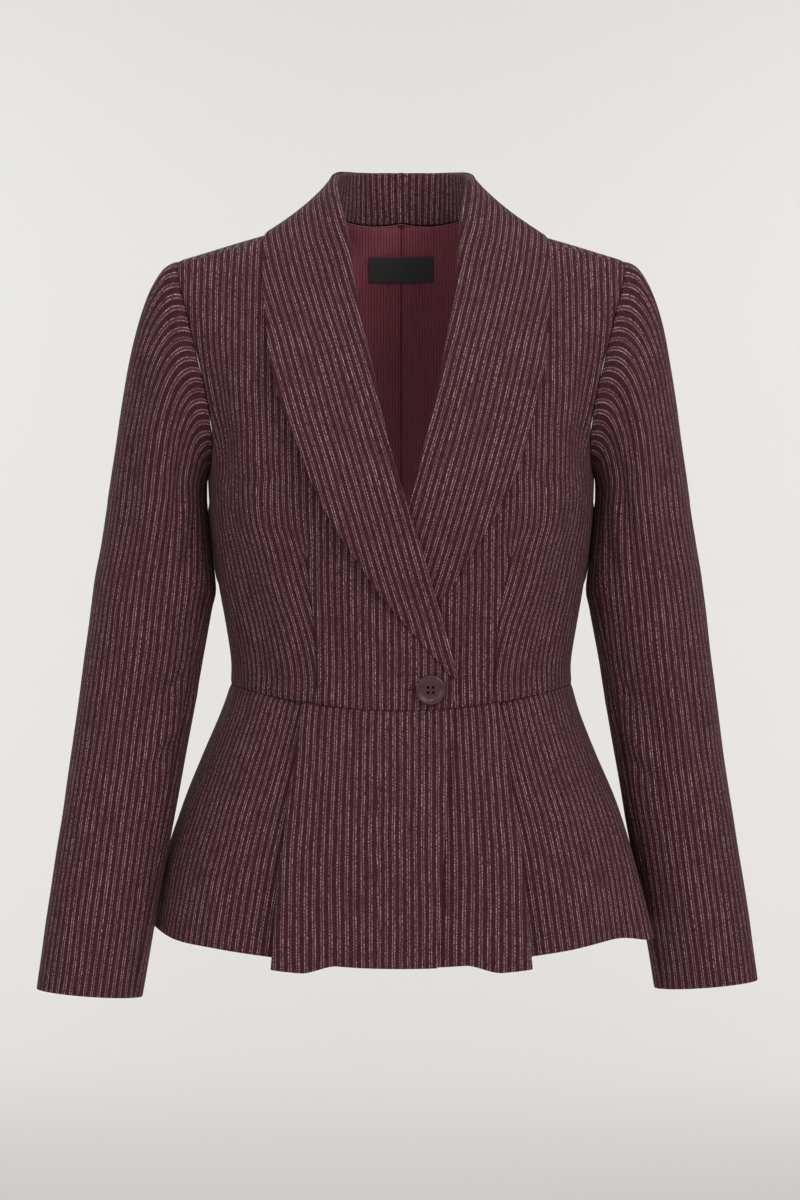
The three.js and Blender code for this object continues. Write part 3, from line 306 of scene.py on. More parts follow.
def body_point(half, side, row, x):
    end = row_end(half, row)
    centre = centre_at[half](row)
    turn = math.radians(centre["turn"])
    square = centre["square"]
    share = min(abs(x) / end["x"], 1)
    across = share * math.sin(turn) ** (2 / square)
    depth = max(1 - across ** square, 0) ** (1 / square)
    end_depth = max(math.cos(turn), 0) ** (2 / square)
    arc = (depth - end_depth) / (1 - end_depth)
    bell = 1 - min(abs(x) / NECK_HALF, 1) ** NECK_BELL
    shape = mix(arc, bell, centre["neck"])
    z = mix(centre["z"], end["z"], share ** centre["bend"])
    return Vector((x, mix(end["y"], centre["y"], shape) - lap_lift(half, side, x, z), z))


def share_at(half, row, x):
    centre = centre_at[half](row)
    turn = math.radians(centre["turn"])
    across = clamp(x / row_end(half, row)["x"], -1, 1)
    bent = signed_power(across, centre["square"] / 2) * math.sin(turn)
    return math.asin(clamp(bent, -1, 1)) / turn


def x_at(half, row, share):
    centre = centre_at[half](row)
    turn = math.radians(centre["turn"])
    across = math.sin(turn * share) / math.sin(turn)
    return row_end(half, row)["x"] * signed_power(across, 2 / centre["square"])


def row_at(half, side, x, z):
    top, bottom = 0, WAIST_ROW
    for _ in range(20):
        row = (top + bottom) / 2
        if body_point(half, side, row, x).z > z:
            top = row
        else:
            bottom = row
    return (top + bottom) / 2


def opening_x(side, row):
    x = opening_at(body_point("front", side, row, 20).z)[NAMES[side]]
    for _ in range(8):
        x = opening_at(body_point("front", side, row, x).z)[NAMES[side]]
    return x


def place(side, point):
    return Vector((side * point.x, point.y, point.z))


# Cloth made from a grid
CREASE_DEPTH = 1.5  # the creases' tables are multiplied by this


def crease_height(creases, a, b, scale=1.0):
    """Height of the soft creases at a place; scale turns a's unit to millimetres."""
    height = 0
    for crease in creases:
        start = Vector((crease["from_a"] * scale, crease["from_b"]))
        run = Vector((crease["to_a"] * scale, crease["to_b"])) - start
        here = Vector((a * scale, b)) - start
        along = clamp(here.dot(run) / run.length_squared, 0, 1)
        off = (here - run * along).length
        if off < 3 * crease["width"]:
            fade = 0.3 + 0.7 * math.sin(math.pi * along)
            height += CREASE_DEPTH * crease["high"] * fade * bump(off, crease["width"])
    return height


def ripple(point, size, high):
    """Faint unevenness, so that no stretch of cloth is a perfect curve."""
    return high * noise.noise(point / size)


def lengths(points):
    """Length along a row of points, from the first."""
    total = [0.0]
    for a, b in zip(points, points[1:]):
        total.append(total[-1] + (b - a).length)
    return total


def border_distance(grid, sewn):
    """Distance of each point of a grid from the nearest sewn border."""
    rows, count = len(grid), len(grid[0])
    far = [[1000.0] * count for _ in range(rows)]
    for r in range(rows):
        run = lengths(grid[r])
        for c in range(count):
            if "start" in sewn:
                far[r][c] = min(far[r][c], run[c])
            if "end" in sewn:
                far[r][c] = min(far[r][c], run[-1] - run[c])
    for c in range(count):
        run = lengths([row[c] for row in grid])
        for r in range(rows):
            if "first" in sewn:
                far[r][c] = min(far[r][c], run[r])
            if "last" in sewn:
                far[r][c] = min(far[r][c], run[-1] - run[r])
    return far


PINCH = 0.55  # how far a seam draws the cloth in
PINCH_WIDTH = 2.4


def grid_faces(bm, grid):
    """Add a grid through rows of points; gives its faces, whose vertices know their row and column."""
    count, rows = len(grid[0]), len(grid)
    tag = bm.verts.layers.int.get("spot") or bm.verts.layers.int.new("spot")
    made = bmesh.ops.create_grid(bm, x_segments=count - 1, y_segments=rows - 1, size=1)["verts"]
    for vert in made:
        c = round((vert.co.x + 1) / 2 * (count - 1))
        r = round((vert.co.y + 1) / 2 * (rows - 1))
        vert[tag] = r * count + c
        vert.co = grid[r][c]
    faces = list({face for vert in made for face in vert.link_faces})
    for face in faces:
        face.normal_update()
    return faces


def cloth(
    name, grid, cloth_uv, materials, thick, sewn=(), relief=None, lines=None, flip=False, facing=None,
):
    """Piece of cloth on a grid of points in mm.

    cloth_uv gives a corner's place in the cloth, relief the height of its creases, lines the distance
    from a dart or a seam inside the piece, and facing says which faces are wool on the inside too.
    """
    rows, count = len(grid), len(grid[0])
    seam = border_distance(grid, sewn)
    bm = bmesh.new()
    grid_faces(bm, grid)
    tag = bm.verts.layers.int["spot"]
    if flip:
        bmesh.ops.reverse_faces(bm, faces=bm.faces)
    bm.normal_update()
    layer = bm.verts.layers.float.new("seam")
    moves = []
    for vert in bm.verts:
        r, c = divmod(vert[tag], count)
        line = min(seam[r][c], lines(r, c) if lines else 1000.0)
        vert[layer] = line * MM
        height = (relief(r, c) if relief else 0) * smooth(seam[r][c], 0, 14)
        height += ripple(grid[r][c], 42, 0.5) * smooth(seam[r][c], 0, 10) - PINCH * bump(line, PINCH_WIDTH)
        moves.append((vert, vert.normal * height))
    for vert, move in moves:
        vert.co += move
    uv = bm.loops.layers.uv.new("cloth")
    for face in bm.faces:
        spots = [divmod(vert[tag], count) for vert in face.verts]
        middle_row = sum(spot[0] for spot in spots) / 4
        middle = sum(spot[1] for spot in spots) / 4
        face.smooth = True
        if facing:
            face.material_index = 2 if facing(middle_row, middle) else 0
        for loop in face.loops:
            r, c = divmod(loop.vert[tag], count)
            loop[uv].uv = Vector(cloth_uv(r, c, middle_row, middle)) * MM
    bmesh.ops.scale(bm, vec=(MM, MM, MM), verts=bm.verts)
    mesh = bpy.data.meshes.new(name)
    bm.to_mesh(mesh)
    bm.free()
    piece = bpy.data.objects.new(name, mesh)
    bpy.context.scene.collection.objects.link(piece)
    for material in materials:
        mesh.materials.append(material)
    wall = piece.modifiers.new("wall", "SOLIDIFY")
    wall.thickness = thick * MM
    wall.offset = 0
    wall.use_even_offset = False
    if len(materials) > 1:
        wall.material_offset = 1
    edge = piece.modifiers.new("rounded edge", "BEVEL")
    edge.limit_method = "ANGLE"
    edge.angle_limit = math.radians(50)
    edge.width = 0.32 * thick * MM
    edge.segments = 3
    edge.profile = 0.5
    return piece


def dress(piece, slot, *nodes):
    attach(piece, "root")
    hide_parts(*nodes)
    return piece


def unroll(first, second):
    """Lay the strip between two rows of points flat; gives both rows in the plane."""
    flat_a = [Vector((0, 0))]
    flat_b = [Vector((0, -(second[0] - first[0]).length))]

    def third(p, q, from_p, from_q):
        base = q - p
        along = (from_p ** 2 - from_q ** 2 + base.length_squared) / (2 * base.length)
        off = math.sqrt(max(from_p ** 2 - along ** 2, 0))
        unit = base.normalized()
        return p + unit * along + Vector((-unit.y, unit.x)) * off

    for i in range(1, len(first)):
        a, b = flat_a[-1], flat_b[-1]
        new_b = third(a, b, (second[i] - first[i - 1]).length, (second[i] - second[i - 1]).length)
        new_a = third(a, new_b, (first[i] - first[i - 1]).length, (first[i] - second[i]).length)
        flat_a.append(new_a)
        flat_b.append(new_b)
    return flat_a, flat_b


def turned(flat_a, flat_b, top, bottom):
    """Turn two flat rows so that the line from place top to place bottom runs straight down."""

    def at(flat, index):
        i = min(int(index), len(flat) - 2)
        return flat[i].lerp(flat[i + 1], index - i)

    origin = at(flat_a, top)
    down = (at(flat_b, bottom) - origin).normalized()
    side = Vector((-down.y, down.x))

    def turn(point):
        here = point - origin
        return Vector((here.dot(side), -here.dot(down)))

    return [turn(p) for p in flat_a], [turn(p) for p in flat_b]


# Colours and materials
WOOL_GROUND = "#421f26"
WOOL_BETWEEN = "#4f3135"
WOOL_THREAD = "#c9a7ac"


def colour(code):
    """sRGB hex to the linear values that shaders take."""
    parts = [int(code[i:i + 2], 16) / 255 for i in (1, 3, 5)]
    return tuple(p / 12.92 if p <= 0.04045 else ((p + 0.055) / 1.055) ** 2.4 for p in parts) + (1.0,)


def material(name):
    made = bpy.data.materials.new(name)
    made.use_nodes = True
    made.node_tree.nodes.clear()
    return made


def add(tree, kind, settings=None, inputs=None):
    """Add one node; an input is a value or another node, whose first output it takes."""
    node = tree.nodes.new("ShaderNode" + kind)
    for key, value in (settings or {}).items():
        setattr(node, key, value)
    for key, value in (inputs or {}).items():
        if isinstance(value, bpy.types.Node):
            value = value.outputs[0]
        if isinstance(value, bpy.types.NodeSocket):
            tree.links.new(value, node.inputs[key])
        else:
            node.inputs[key].default_value = value
    return node


STRIPE_PITCH = 5.8  # mm from one pair of lines to the next
LINE_OFF = 0.95  # mm from the middle of a pair to each line
LINE_HALF = 0.42  # mm, half of a line with its soft edges


def scaled(tree, vector, factors):
    return add(tree, "VectorMath", {"operation": "MULTIPLY"}, {0: vector, 1: factors})


def noise_2d(tree, vector, detail=1.0, roughness=0.5):
    return add(
        tree, "TexNoise", {"noise_dimensions": "2D"},
        {"Vector": vector, "Scale": 1.0, "Detail": detail, "Roughness": roughness},
    )


def ramp(tree, value, low, high, to_low, to_high, smooth_step=True):
    kind = "SMOOTHSTEP" if smooth_step else "LINEAR"
    inputs = {0: value, 1: low, 2: high, 3: to_low, 4: to_high}
    return add(tree, "MapRange", {"interpolation_type": kind}, inputs)


def painted_seam_shade(tree, dark):
    """Painted shade in the seam's groove: darker in the last millimetre before a seam, by each point's
    distance from it.
    """
    seam = add(tree, "Attribute", {"attribute_name": "seam"})
    return ramp(tree, seam.outputs["Fac"], 0.0002, 0.0013, dark, 1.0)


def pinstripe_wool(name):
    """Worsted suiting: a dry matt plum ground, and pairs of fine beaded light lines woven in."""
    made = material(name)
    tree = made.node_tree
    place_in = add(tree, "UVMap", {"uv_map": "cloth"})
    mm = add(tree, "VectorMath", {"operation": "SCALE"}, {0: place_in, "Scale": 1000.0})
    apart = add(tree, "SeparateXYZ", None, {0: mm})
    drift = noise_2d(tree, scaled(tree, mm, (0.02, 0.012, 1.0)))
    sway = add(tree, "Math", {"operation": "MULTIPLY_ADD"}, {0: drift, 1: 2.4, 2: apart.outputs[0]})
    off = add(tree, "Math", {"operation": "PINGPONG"}, {0: sway, 1: STRIPE_PITCH / 2})
    between = ramp(tree, off, LINE_OFF + 0.45, LINE_OFF - 0.1, 0.0, 1.0)
    from_line = add(tree, "Math", {"operation": "SUBTRACT"}, {0: off, 1: LINE_OFF})
    line_off = add(tree, "Math", {"operation": "ABSOLUTE"}, {0: from_line})
    line = ramp(tree, line_off, LINE_HALF, 0.12, 0.0, 1.0)
    # Beads: a line shows and hides every two millimetres or so, where its yarn floats over the weft
    bead = ramp(tree, noise_2d(tree, scaled(tree, mm, (0.7, 0.85, 1.0)), 1.5, 0.6), 0.42, 0.6, 0.05, 1.0)
    # Slubs: thicker and thinner yarn, centimetres long
    slub = ramp(tree, noise_2d(tree, scaled(tree, mm, (0.55, 0.035, 1.0)), 2.0), 0.34, 0.68, 0.3, 1.0)
    beaded = add(tree, "Math", {"operation": "MULTIPLY"}, {0: line, 1: bead})
    thread = add(tree, "Math", {"operation": "MULTIPLY"}, {0: beaded, 1: slub})
    yarn = noise_2d(tree, scaled(tree, mm, (1.25, 0.16, 1.0)), 1.0)
    fibre = noise_2d(tree, scaled(tree, mm, (1.3, 1.0, 1.0)), 2.5, 0.7)
    rib = ramp(tree, yarn, 0.3, 0.7, 0.66, 1.36, False)
    fleck = ramp(tree, fibre, 0.3, 0.7, 0.74, 1.3, False)
    ground = add(
        tree, "Mix", {"data_type": "RGBA"}, {0: between, 6: colour(WOOL_GROUND), 7: colour(WOOL_BETWEEN)},
    )
    ribbed = add(tree, "VectorMath", {"operation": "SCALE"}, {0: ground.outputs[2], "Scale": rib})
    striped = add(tree, "Mix", {"data_type": "RGBA"}, {0: thread, 6: ribbed, 7: colour(WOOL_THREAD)})
    # the seam factor is painted shade along seams and darts; fleck is the yarn's own melange
    level = add(tree, "Math", {"operation": "MULTIPLY"}, {0: fleck, 1: painted_seam_shade(tree, 0.4)})
    tone = add(tree, "VectorMath", {"operation": "SCALE"}, {0: striped.outputs[2], "Scale": level})
    raised = add(tree, "Math", {"operation": "MULTIPLY_ADD"}, {0: thread, 1: 0.7, 2: fibre})
    high = add(tree, "Math", {"operation": "MULTIPLY_ADD"}, {0: yarn, 1: 0.6, 2: raised})
    weave = add(tree, "Bump", None, {"Strength": 0.6, "Distance": 0.0004, "Height": high})
    cloth_shader = add(
        tree, "BsdfPrincipled", None,
        {
            "Base Color": tone, "Roughness": 0.9, "Specular IOR Level": 0.15, "Normal": weave,
            "Sheen Weight": 0.06, "Sheen Roughness": 0.5, "Sheen Tint": colour("#c9a9ad"),
        },
    )
    add(tree, "OutputMaterial", None, {"Surface": cloth_shader})
    return made


def satin(name):
    """Satin lining: smooth wine threads with a fine tonal stripe and a soft long shine."""
    made = material(name)
    tree = made.node_tree
    place_in = add(tree, "UVMap", {"uv_map": "cloth"})
    mm = add(tree, "VectorMath", {"operation": "SCALE"}, {0: place_in, "Scale": 1000.0})
    apart = add(tree, "SeparateXYZ", None, {0: mm})
    off = add(tree, "Math", {"operation": "PINGPONG"}, {0: apart.outputs[0], 1: 1.3})
    stripe = ramp(tree, off, 0.3, 0.9, 0.0, 1.0)
    slub = ramp(tree, noise_2d(tree, scaled(tree, mm, (1.1, 0.05, 1.0)), 2.0), 0.3, 0.7, 0.86, 1.16, False)
    tonal = add(
        tree, "Mix", {"data_type": "RGBA"}, {0: stripe, 6: colour("#8a4150"), 7: colour("#a25a69")},
    )
    # the seam factor is painted shade along the lining's seam; slub is the yarn's own unevenness
    level = add(tree, "Math", {"operation": "MULTIPLY"}, {0: slub, 1: painted_seam_shade(tree, 0.3)})
    tone = add(tree, "VectorMath", {"operation": "SCALE"}, {0: tonal.outputs[2], "Scale": level})
    weave = add(tree, "Bump", None, {"Strength": 0.2, "Distance": 0.0002, "Height": stripe})
    cloth_shader = add(
        tree, "BsdfPrincipled", None,
        {
            "Base Color": tone, "Roughness": 0.42, "Specular IOR Level": 0.45, "Normal": weave,
            "Anisotropic": 0.5, "Sheen Weight": 0.15, "Sheen Roughness": 0.3,
        },
    )
    add(tree, "OutputMaterial", None, {"Surface": cloth_shader})
    return made


def woven_ribbon(name):
    """Damask label ribbon: close black threads in fine cross ribs, quite matt."""
    made = material(name)
    tree = made.node_tree
    place_in = add(tree, "UVMap", {"uv_map": "cloth"})
    mm = add(tree, "VectorMath", {"operation": "SCALE"}, {0: place_in, "Scale": 1000.0})
    apart = add(tree, "SeparateXYZ", None, {0: mm})
    rib = add(tree, "Math", {"operation": "PINGPONG"}, {0: apart.outputs[1], 1: 0.35})
    fibre = add(tree, "TexNoise", {"noise_dimensions": "2D"}, {"Vector": mm, "Scale": 1.6, "Detail": 2.0})
    tone = add(tree, "MapRange", None, {0: fibre, 1: 0.3, 2: 0.7, 3: 0.7, 4: 1.4})
    dark = add(tree, "VectorMath", {"operation": "SCALE"}, {0: colour("#454646")[:3], "Scale": tone})
    weave = add(tree, "Bump", None, {"Strength": 0.5, "Distance": 0.0003, "Height": rib})
    shader = add(
        tree, "BsdfPrincipled", None,
        {"Base Color": dark, "Roughness": 0.7, "Specular IOR Level": 0.3, "Normal": weave},
    )
    add(tree, "OutputMaterial", None, {"Surface": shader})
    return made


def resin(name):
    """Polyester resin button: polished plum brown, faintly clouded."""
    made = material(name)
    tree = made.node_tree
    place_in = add(tree, "TexCoord")
    cloud = add(
        tree, "TexNoise", None, {"Vector": place_in.outputs["Object"], "Scale": 160.0, "Detail": 2.0},
    )
    tone = add(
        tree, "Mix", {"data_type": "RGBA"}, {0: cloud, 6: colour("#3c141d"), 7: colour("#54222e")},
    )
    shader = add(
        tree, "BsdfPrincipled", None,
        {
            "Base Color": tone.outputs[2], "Roughness": 0.3, "IOR": 1.5,
            "Coat Weight": 0.25, "Coat Roughness": 0.08,
        },
    )
    add(tree, "OutputMaterial", None, {"Surface": shader})
    return made


def sewing_thread(name):
    """Polyester sewing thread, plum and slightly shiny."""
    made = material(name)
    tree = made.node_tree
    shader = add(tree, "BsdfPrincipled", None, {"Base Color": colour("#1f0d11"), "Roughness": 0.7})
    add(tree, "OutputMaterial", None, {"Surface": shader})
    return made


WOOL = pinstripe_wool("plum_pinstripe_worsted")
SATIN = satin("wine_satin_lining")
SHELL = (WOOL, SATIN, WOOL, WOOL)  # outside and inside, lined and faced
TURN_UP = 36  # mm of wool turned up inside each hem
RIBBON = woven_ribbon("black_woven_ribbon")
RESIN = resin("polished_plum_resin")
THREAD = sewing_thread("plum_sewing_thread")


# Fronts and backs
def seam_rows(count, last):
    """Rows that stand closer together near both ends, where the seams are."""
    return [mix(last * i / count, last * smooth(i, 0, count), 0.45) for i in range(count + 1)]


def seam_shares(count, start, middle, end):
    """Shares in two halves that meet at the dart, closer together near the dart and the end."""
    half = count // 2
    first = [mix(start, middle, math.sin(math.pi / 2 * i / half) ** 0.8) for i in range(half)]
    second = [mix(middle, end, mix(i / half, smooth(i, 0, half), 0.6)) for i in range(half + 1)]
    return first + second


BODY_COUNT = 96
SHOULDER_BAND = 14  # the shoulder seam lies this far forward of the ridge


def body_grid(half, side, rows):
    """Points of a half front or back, with the row and x of each."""
    spots = []
    for row in rows:
        seam_row = row
        if half == "front":
            start = share_at(half, row, opening_x(side, row))
        else:
            start = 0
        middle = share_at(half, row, dart_at[half, side](row)["x"])
        shares = seam_shares(BODY_COUNT, start, middle, 1)
        line = []
        for share in shares:
            x = x_at(half, row, share)
            if half == "back":
                edge = min(abs(x_at(half, 0, share)) / NECK_HALF, 1)
                seam_row = mix(NECK_ROW * (1 - edge ** NECK_BELL), WAIST_ROW, row / WAIST_ROW)
            line.append((seam_row, x))
        spots.append(line)
    return spots


UNDER_ARM_EASE = 5  # mm that the back's cloth stands out beside the side seam


def under_arm_ease(grid):
    """Ease the cloth out, so that it lies against the sleeve under the arm."""
    for line in grid:
        for point in line:
            high = UNDER_ARM_EASE * smooth(-point.z, 208, 232) * smooth(point.z, -306, -284)
            if high > 0:
                point.x += math.copysign(high * bump(point.y - 26, 13), point.x)


def body_piece(half, side):
    rows = seam_rows(120, WAIST_ROW)
    spots = body_grid(half, side, rows)
    grid = [[place(side, body_point(half, side, *spot)) for spot in line] for line in spots]
    if half == "back":
        under_arm_ease(grid)
    runs = [lengths(line) for line in grid]
    fold = BODY_COUNT // 2
    tip = DART_TIP_ROW[half]
    reference = min(range(len(rows)), key=lambda r: abs(rows[r] - UNDERARM_ROW))
    starts = [line[0][1] for line in spots]
    total = runs[reference][-1] + starts[reference]

    def at_centre(r, c):
        return starts[r] + runs[r][c]

    falls = [lengths([line[c] for line in grid]) for c in range(BODY_COUNT + 1)]

    def cloth_uv(r, c, middle_row, middle):
        row = rows[r]
        z = grid[r][c].z
        if half == "front" and falls[int(middle)][int(middle_row)] < SHOULDER_BAND - 0.5:
            return (at_centre(r, c) * 0.9 + z * 0.45, z)
        from_centre = at_centre(r, c)
        from_side = total - (runs[r][-1] - runs[r][c])
        if row < UNDERARM_ROW:
            share = 0
        elif row < tip:
            width = mix(60, 4, (row - UNDERARM_ROW) / (tip - UNDERARM_ROW))
            share = smooth(runs[r][c] - runs[r][fold], -width, width)
        else:
            share = 1 if middle > fold else 0
        if half == "back" and row < tip:
            share = 0
        return (mix(from_centre, from_side, share), z)

    def dart_line(r, c):
        beyond = max(tip - rows[r], 0) * 38
        from_shoulder = abs(falls[c][r] - SHOULDER_BAND) if half == "front" else 1000
        return min(math.hypot(abs(runs[r][c] - runs[r][fold]), beyond), from_shoulder)

    def relief(r, c):
        return crease_height(BODY_CREASES[half, side], spots[r][c][1], grid[r][c].z)

    def facing(middle_row, middle):
        return half == "front" and runs[int(middle_row)][int(middle)] < 70

    piece = cloth(
        f"{half}_{NAMES[side]}_cloth", grid, cloth_uv, SHELL, CLOTH,
        sewn=("last", "end") + (("start", "first") if half == "back" else ()),
        relief=relief, lines=dart_line, flip=(half == "front") == (side == LEFT), facing=facing,
    )
    return dress(piece, "suiting", f"{half}_{NAMES[side]}")


body_pieces = {(half, side): body_piece(half, side) for half in ("front", "back") for side in (RIGHT, LEFT)}


# Nearest place on the body, for what lies on it
def surface_tree(side):
    bm = bmesh.new()
    for half in ("front", "back"):
        rows = seam_rows(90, WAIST_ROW)
        points = [[body_point(half, side, *spot) for spot in line] for line in body_grid(half, side, rows)]
        made = grid_faces(bm, points)
        if half == "front":
            bmesh.ops.reverse_faces(bm, faces=made)
    tree = BVHTree.FromBMesh(bm)
    bm.free()
    return tree


surface = {side: surface_tree(side) for side in (RIGHT, LEFT)}


def lay_out(side, point, least, exact=False):
    foot, normal, _, _ = surface[side].find_nearest(point)
    height = (point - foot).dot(normal)
    if height > least and not exact:
        return point
    return foot + normal * least


# Collar and lapels
def roll_z(side, step):
    return mix(ROLL_START_Z, ROLL_END_Z[side], (step - ROLL_STEP) / (LAST_STEP - ROLL_STEP))


def roll_point(side, z):
    x = opening_at(z)[NAMES[side]]
    return body_point("front", side, row_at("front", side, x, z), x)


def fold_point(side, step):
    if step >= ROLL_STEP:
        return roll_point(side, roll_z(side, step))
    top = min(step, 6)
    fold = collar_at(top)
    out = 2.5 * smooth(top, 0, 3) if side == LEFT else 0
    point = Vector((fold["foldX"] + out, fold["foldY"], fold["foldZ"]))
    return point.lerp(roll_point(side, ROLL_START_Z), step - 6) if step > 6 else point


def edge_point(side, step):
    if step < ROLL_STEP:
        top = min(step, 6)
        edge = collar_at(top)
        out = 1.075 if side == LEFT else 1
        point = Vector((edge["edgeX"] * out, edge["edgeY"], edge["edgeZ"]))
        return point.lerp(edge_point(side, ROLL_STEP), step - 6) if step > 6 else point
    along = (step - ROLL_STEP) / (LAST_STEP - ROLL_STEP)
    z = roll_z(side, step) - ROLL_EDGE_DROP * (1 - along)
    x = lapel_at(z)[NAMES[side]]
    return body_point("front", side, row_at("front", side, x, z), x)


def neck_seam(side, step):
    if step < RIDGE_STEP:
        x = mix(collar_at(3)["seam"], NECK_HALF, step - 3) if step > 3 else collar_at(step)["seam"]
        return body_point("back", side, NECK_ROW * (1 - min(x / NECK_HALF, 1) ** NECK_BELL), x)
    top = FRONT_OPENING[0]["z"]
    z = mix(top, ROLL_START_Z, ((step - RIDGE_STEP) / (ROLL_STEP - RIDGE_STEP)) ** NECK_PACE)
    return roll_point(side, z)


def front_normal(side, z):
    x = opening_at(z)[NAMES[side]]
    row = row_at("front", side, x, z)
    across = body_point("front", side, row, x + 0.5) - body_point("front", side, row, x - 0.5)
    down = body_point("front", side, row + 0.05, x) - body_point("front", side, row - 0.05, x)
    return down.cross(across).normalized()


def crest_angle(step):
    """How far the stand's cloth wraps over the fold before the collar's own cloth starts."""
    return math.radians(84) * smooth(-step, -5, -3.4)


LAPEL_CLEAR = 0.4  # mm of air between the lapel and the front under it
LAPEL_LIFT = {RIGHT: 9.5, LEFT: 4.0}  # how far each lapel's outer edge springs off the front


def collar_section(side, step, turns, flats):
    """Points of the collar at a step: round the fold, then down to the outer edge."""
    fold = fold_point(side, step)
    along = fold_point(side, min(step + 0.05, LAST_STEP)) - fold_point(side, max(step - 0.05, 0))
    along.normalize()
    if step < 0.05:
        along = Vector((1, 0, 0))
    if step < ROLL_STEP:
        rise = (fold - neck_seam(side, step)).normalized()
        normal = along.cross(rise).normalized()
        if normal.dot(Vector((fold.x, fold.y - 10, 0))) < 0:
            normal.negate()
        normal = normal.lerp(front_normal(side, ROLL_START_Z), smooth(step, ROLL_STEP - 2, ROLL_STEP))
        normal.normalize()
        inward = Vector((-fold.x, 10 - fold.y, 40))
    else:
        normal = front_normal(side, roll_z(side, step))
        inward = Vector((-1, 0, 0))
    rise = along.cross(normal).normalized()
    if rise.dot(inward) < 0:
        rise.negate()
    radius = roll_at(step)["radius"]
    section = []
    first = crest_angle(step)
    for angle in spread(turns, first, math.pi):
        up = SEAM + radius * math.sin(angle)
        section.append(fold + rise * up + normal * radius * (1 - math.cos(angle)))
    lie = CLOTH / 2 + SEAM + FACING / 2 + LAPEL_CLEAR
    lift = LAPEL_LIFT[side] * smooth(step, 5.5, 9) * smooth(-step, -18.5, -13)
    start = section[-1]
    end = lay_out(side, edge_point(side, step), lie + lift, exact=True)
    bow = mix(BACK_BULGE, SIDE_BULGE, smooth(step, 0.8, 2.8))
    bulge = bow * smooth(-step, -ROLL_STEP - 1, -4.5)
    for i in range(1, flats + 1):
        q = i / flats
        point = start.lerp(end, q) + normal * bulge * 4 * q * (1 - q)
        least = mix(lie + lift * q * q, 2 * radius, (1 - q) ** 3)
        section.append(lay_out(side, point, least))
    section[-1] = end
    return section


GRAIN_FROM, GRAIN_TO_END = 110, 30  # rows of the roll line that set the lapel's grain


def collar_piece(side):
    steps = spread(64, 0, ROLL_STEP) + spread(150, ROLL_STEP, LAST_STEP)[1:]
    turns, flats = 10, 34
    sections = [collar_section(side, step, turns, flats) for step in steps]
    grid = [[place(side, point) for point in section] for section in sections]
    runs = [lengths(line) for line in grid]
    flat_a, flat_b = unroll([s[turns] for s in sections], [s[-1] for s in sections])
    # Turned so that the roll line's lower half runs straight down the cloth
    low, high = GRAIN_FROM, len(steps) - GRAIN_TO_END
    down = (flat_a[high] - flat_a[low]).normalized()
    across = Vector((-down.y, down.x))

    def cloth_uv(r, c, middle_row, middle):
        total = runs[r][-1] - runs[r][turns]
        share = (runs[r][c] - runs[r][turns]) / total
        point = flat_a[r] + (flat_b[r] - flat_a[r]) * share
        return (point.dot(across), -point.dot(down))

    piece = cloth(
        f"collar_lapel_{NAMES[side]}_cloth", grid, cloth_uv, (WOOL,), FACING,
        sewn=("first",), flip=side == RIGHT,
    )
    return dress(piece, "suiting", f"collar_lapel_{NAMES[side]}")


STAND_START = 1.2  # mm of the stand's cloth taken up by the neck seam
STAND_LAST_STEP = 6.4  # the stand runs out under the collar here


def stand_line(side, step):
    """The stand's cloth at a step, from the neck seam up and over the crest of the fold."""
    seam = neck_seam(side, step)
    fold = fold_point(side, step)
    rise = (fold - seam).normalized()
    points = [(seam + rise * STAND_START).lerp(fold, share) for share in spread(14, 0, 1)]
    wrap = crest_angle(step) - math.radians(4)
    if wrap > 0:
        along = fold_point(side, step + 0.05) - fold_point(side, max(step - 0.05, 0))
        normal = along.cross(rise).normalized()
        if normal.dot(Vector((fold.x, fold.y - 10, 0))) < 0:
            normal.negate()
    else:
        wrap = 0
        normal = Vector((0, 0, 0))
    radius = roll_at(step)["radius"]
    for angle in spread(6, 0, wrap)[1:]:
        up = radius * math.sin(angle) + 0.01 * angle
        points.append(fold + rise * up + normal * radius * (1 - math.cos(angle)))
    if wrap == 0:
        points = [points[0].lerp(points[14], share) for share in spread(20, 0, 1)]
    return points


def stand_piece():
    steps = spread(48, 0, STAND_LAST_STEP)
    stations = [(RIGHT, step) for step in steps[::-1]] + [(LEFT, step) for step in steps[1:]]
    lines = [[place(side, point) for point in stand_line(side, step)] for side, step in stations]
    around = lengths([line[8] for line in lines])
    runs = [lengths(line) for line in lines]
    middle_run = around[len(around) // 2]

    def cloth_uv(r, c, middle_row, middle):
        return (around[r] - middle_run, runs[r][c])

    piece = cloth("collar_stand_cloth", lines, cloth_uv, (WOOL,), CLOTH, sewn=("start",), flip=True)
    return dress(piece, "suiting", "collar_stand")


collars = {side: collar_piece(side) for side in (RIGHT, LEFT)}
stand = stand_piece()


# Lining and label
LINING_FACE = CLOTH / 2 + SEAM + LINING / 2
LINING_RAISE = 1.4  # mm that the lining reaches up into the neck seam
LINING_LAST_ROW = 9.0
LINING_SHARE = 0.82  # how far round the back it reaches
LABEL_OUT = 1.1  # mm that the ribbon stands off the lining


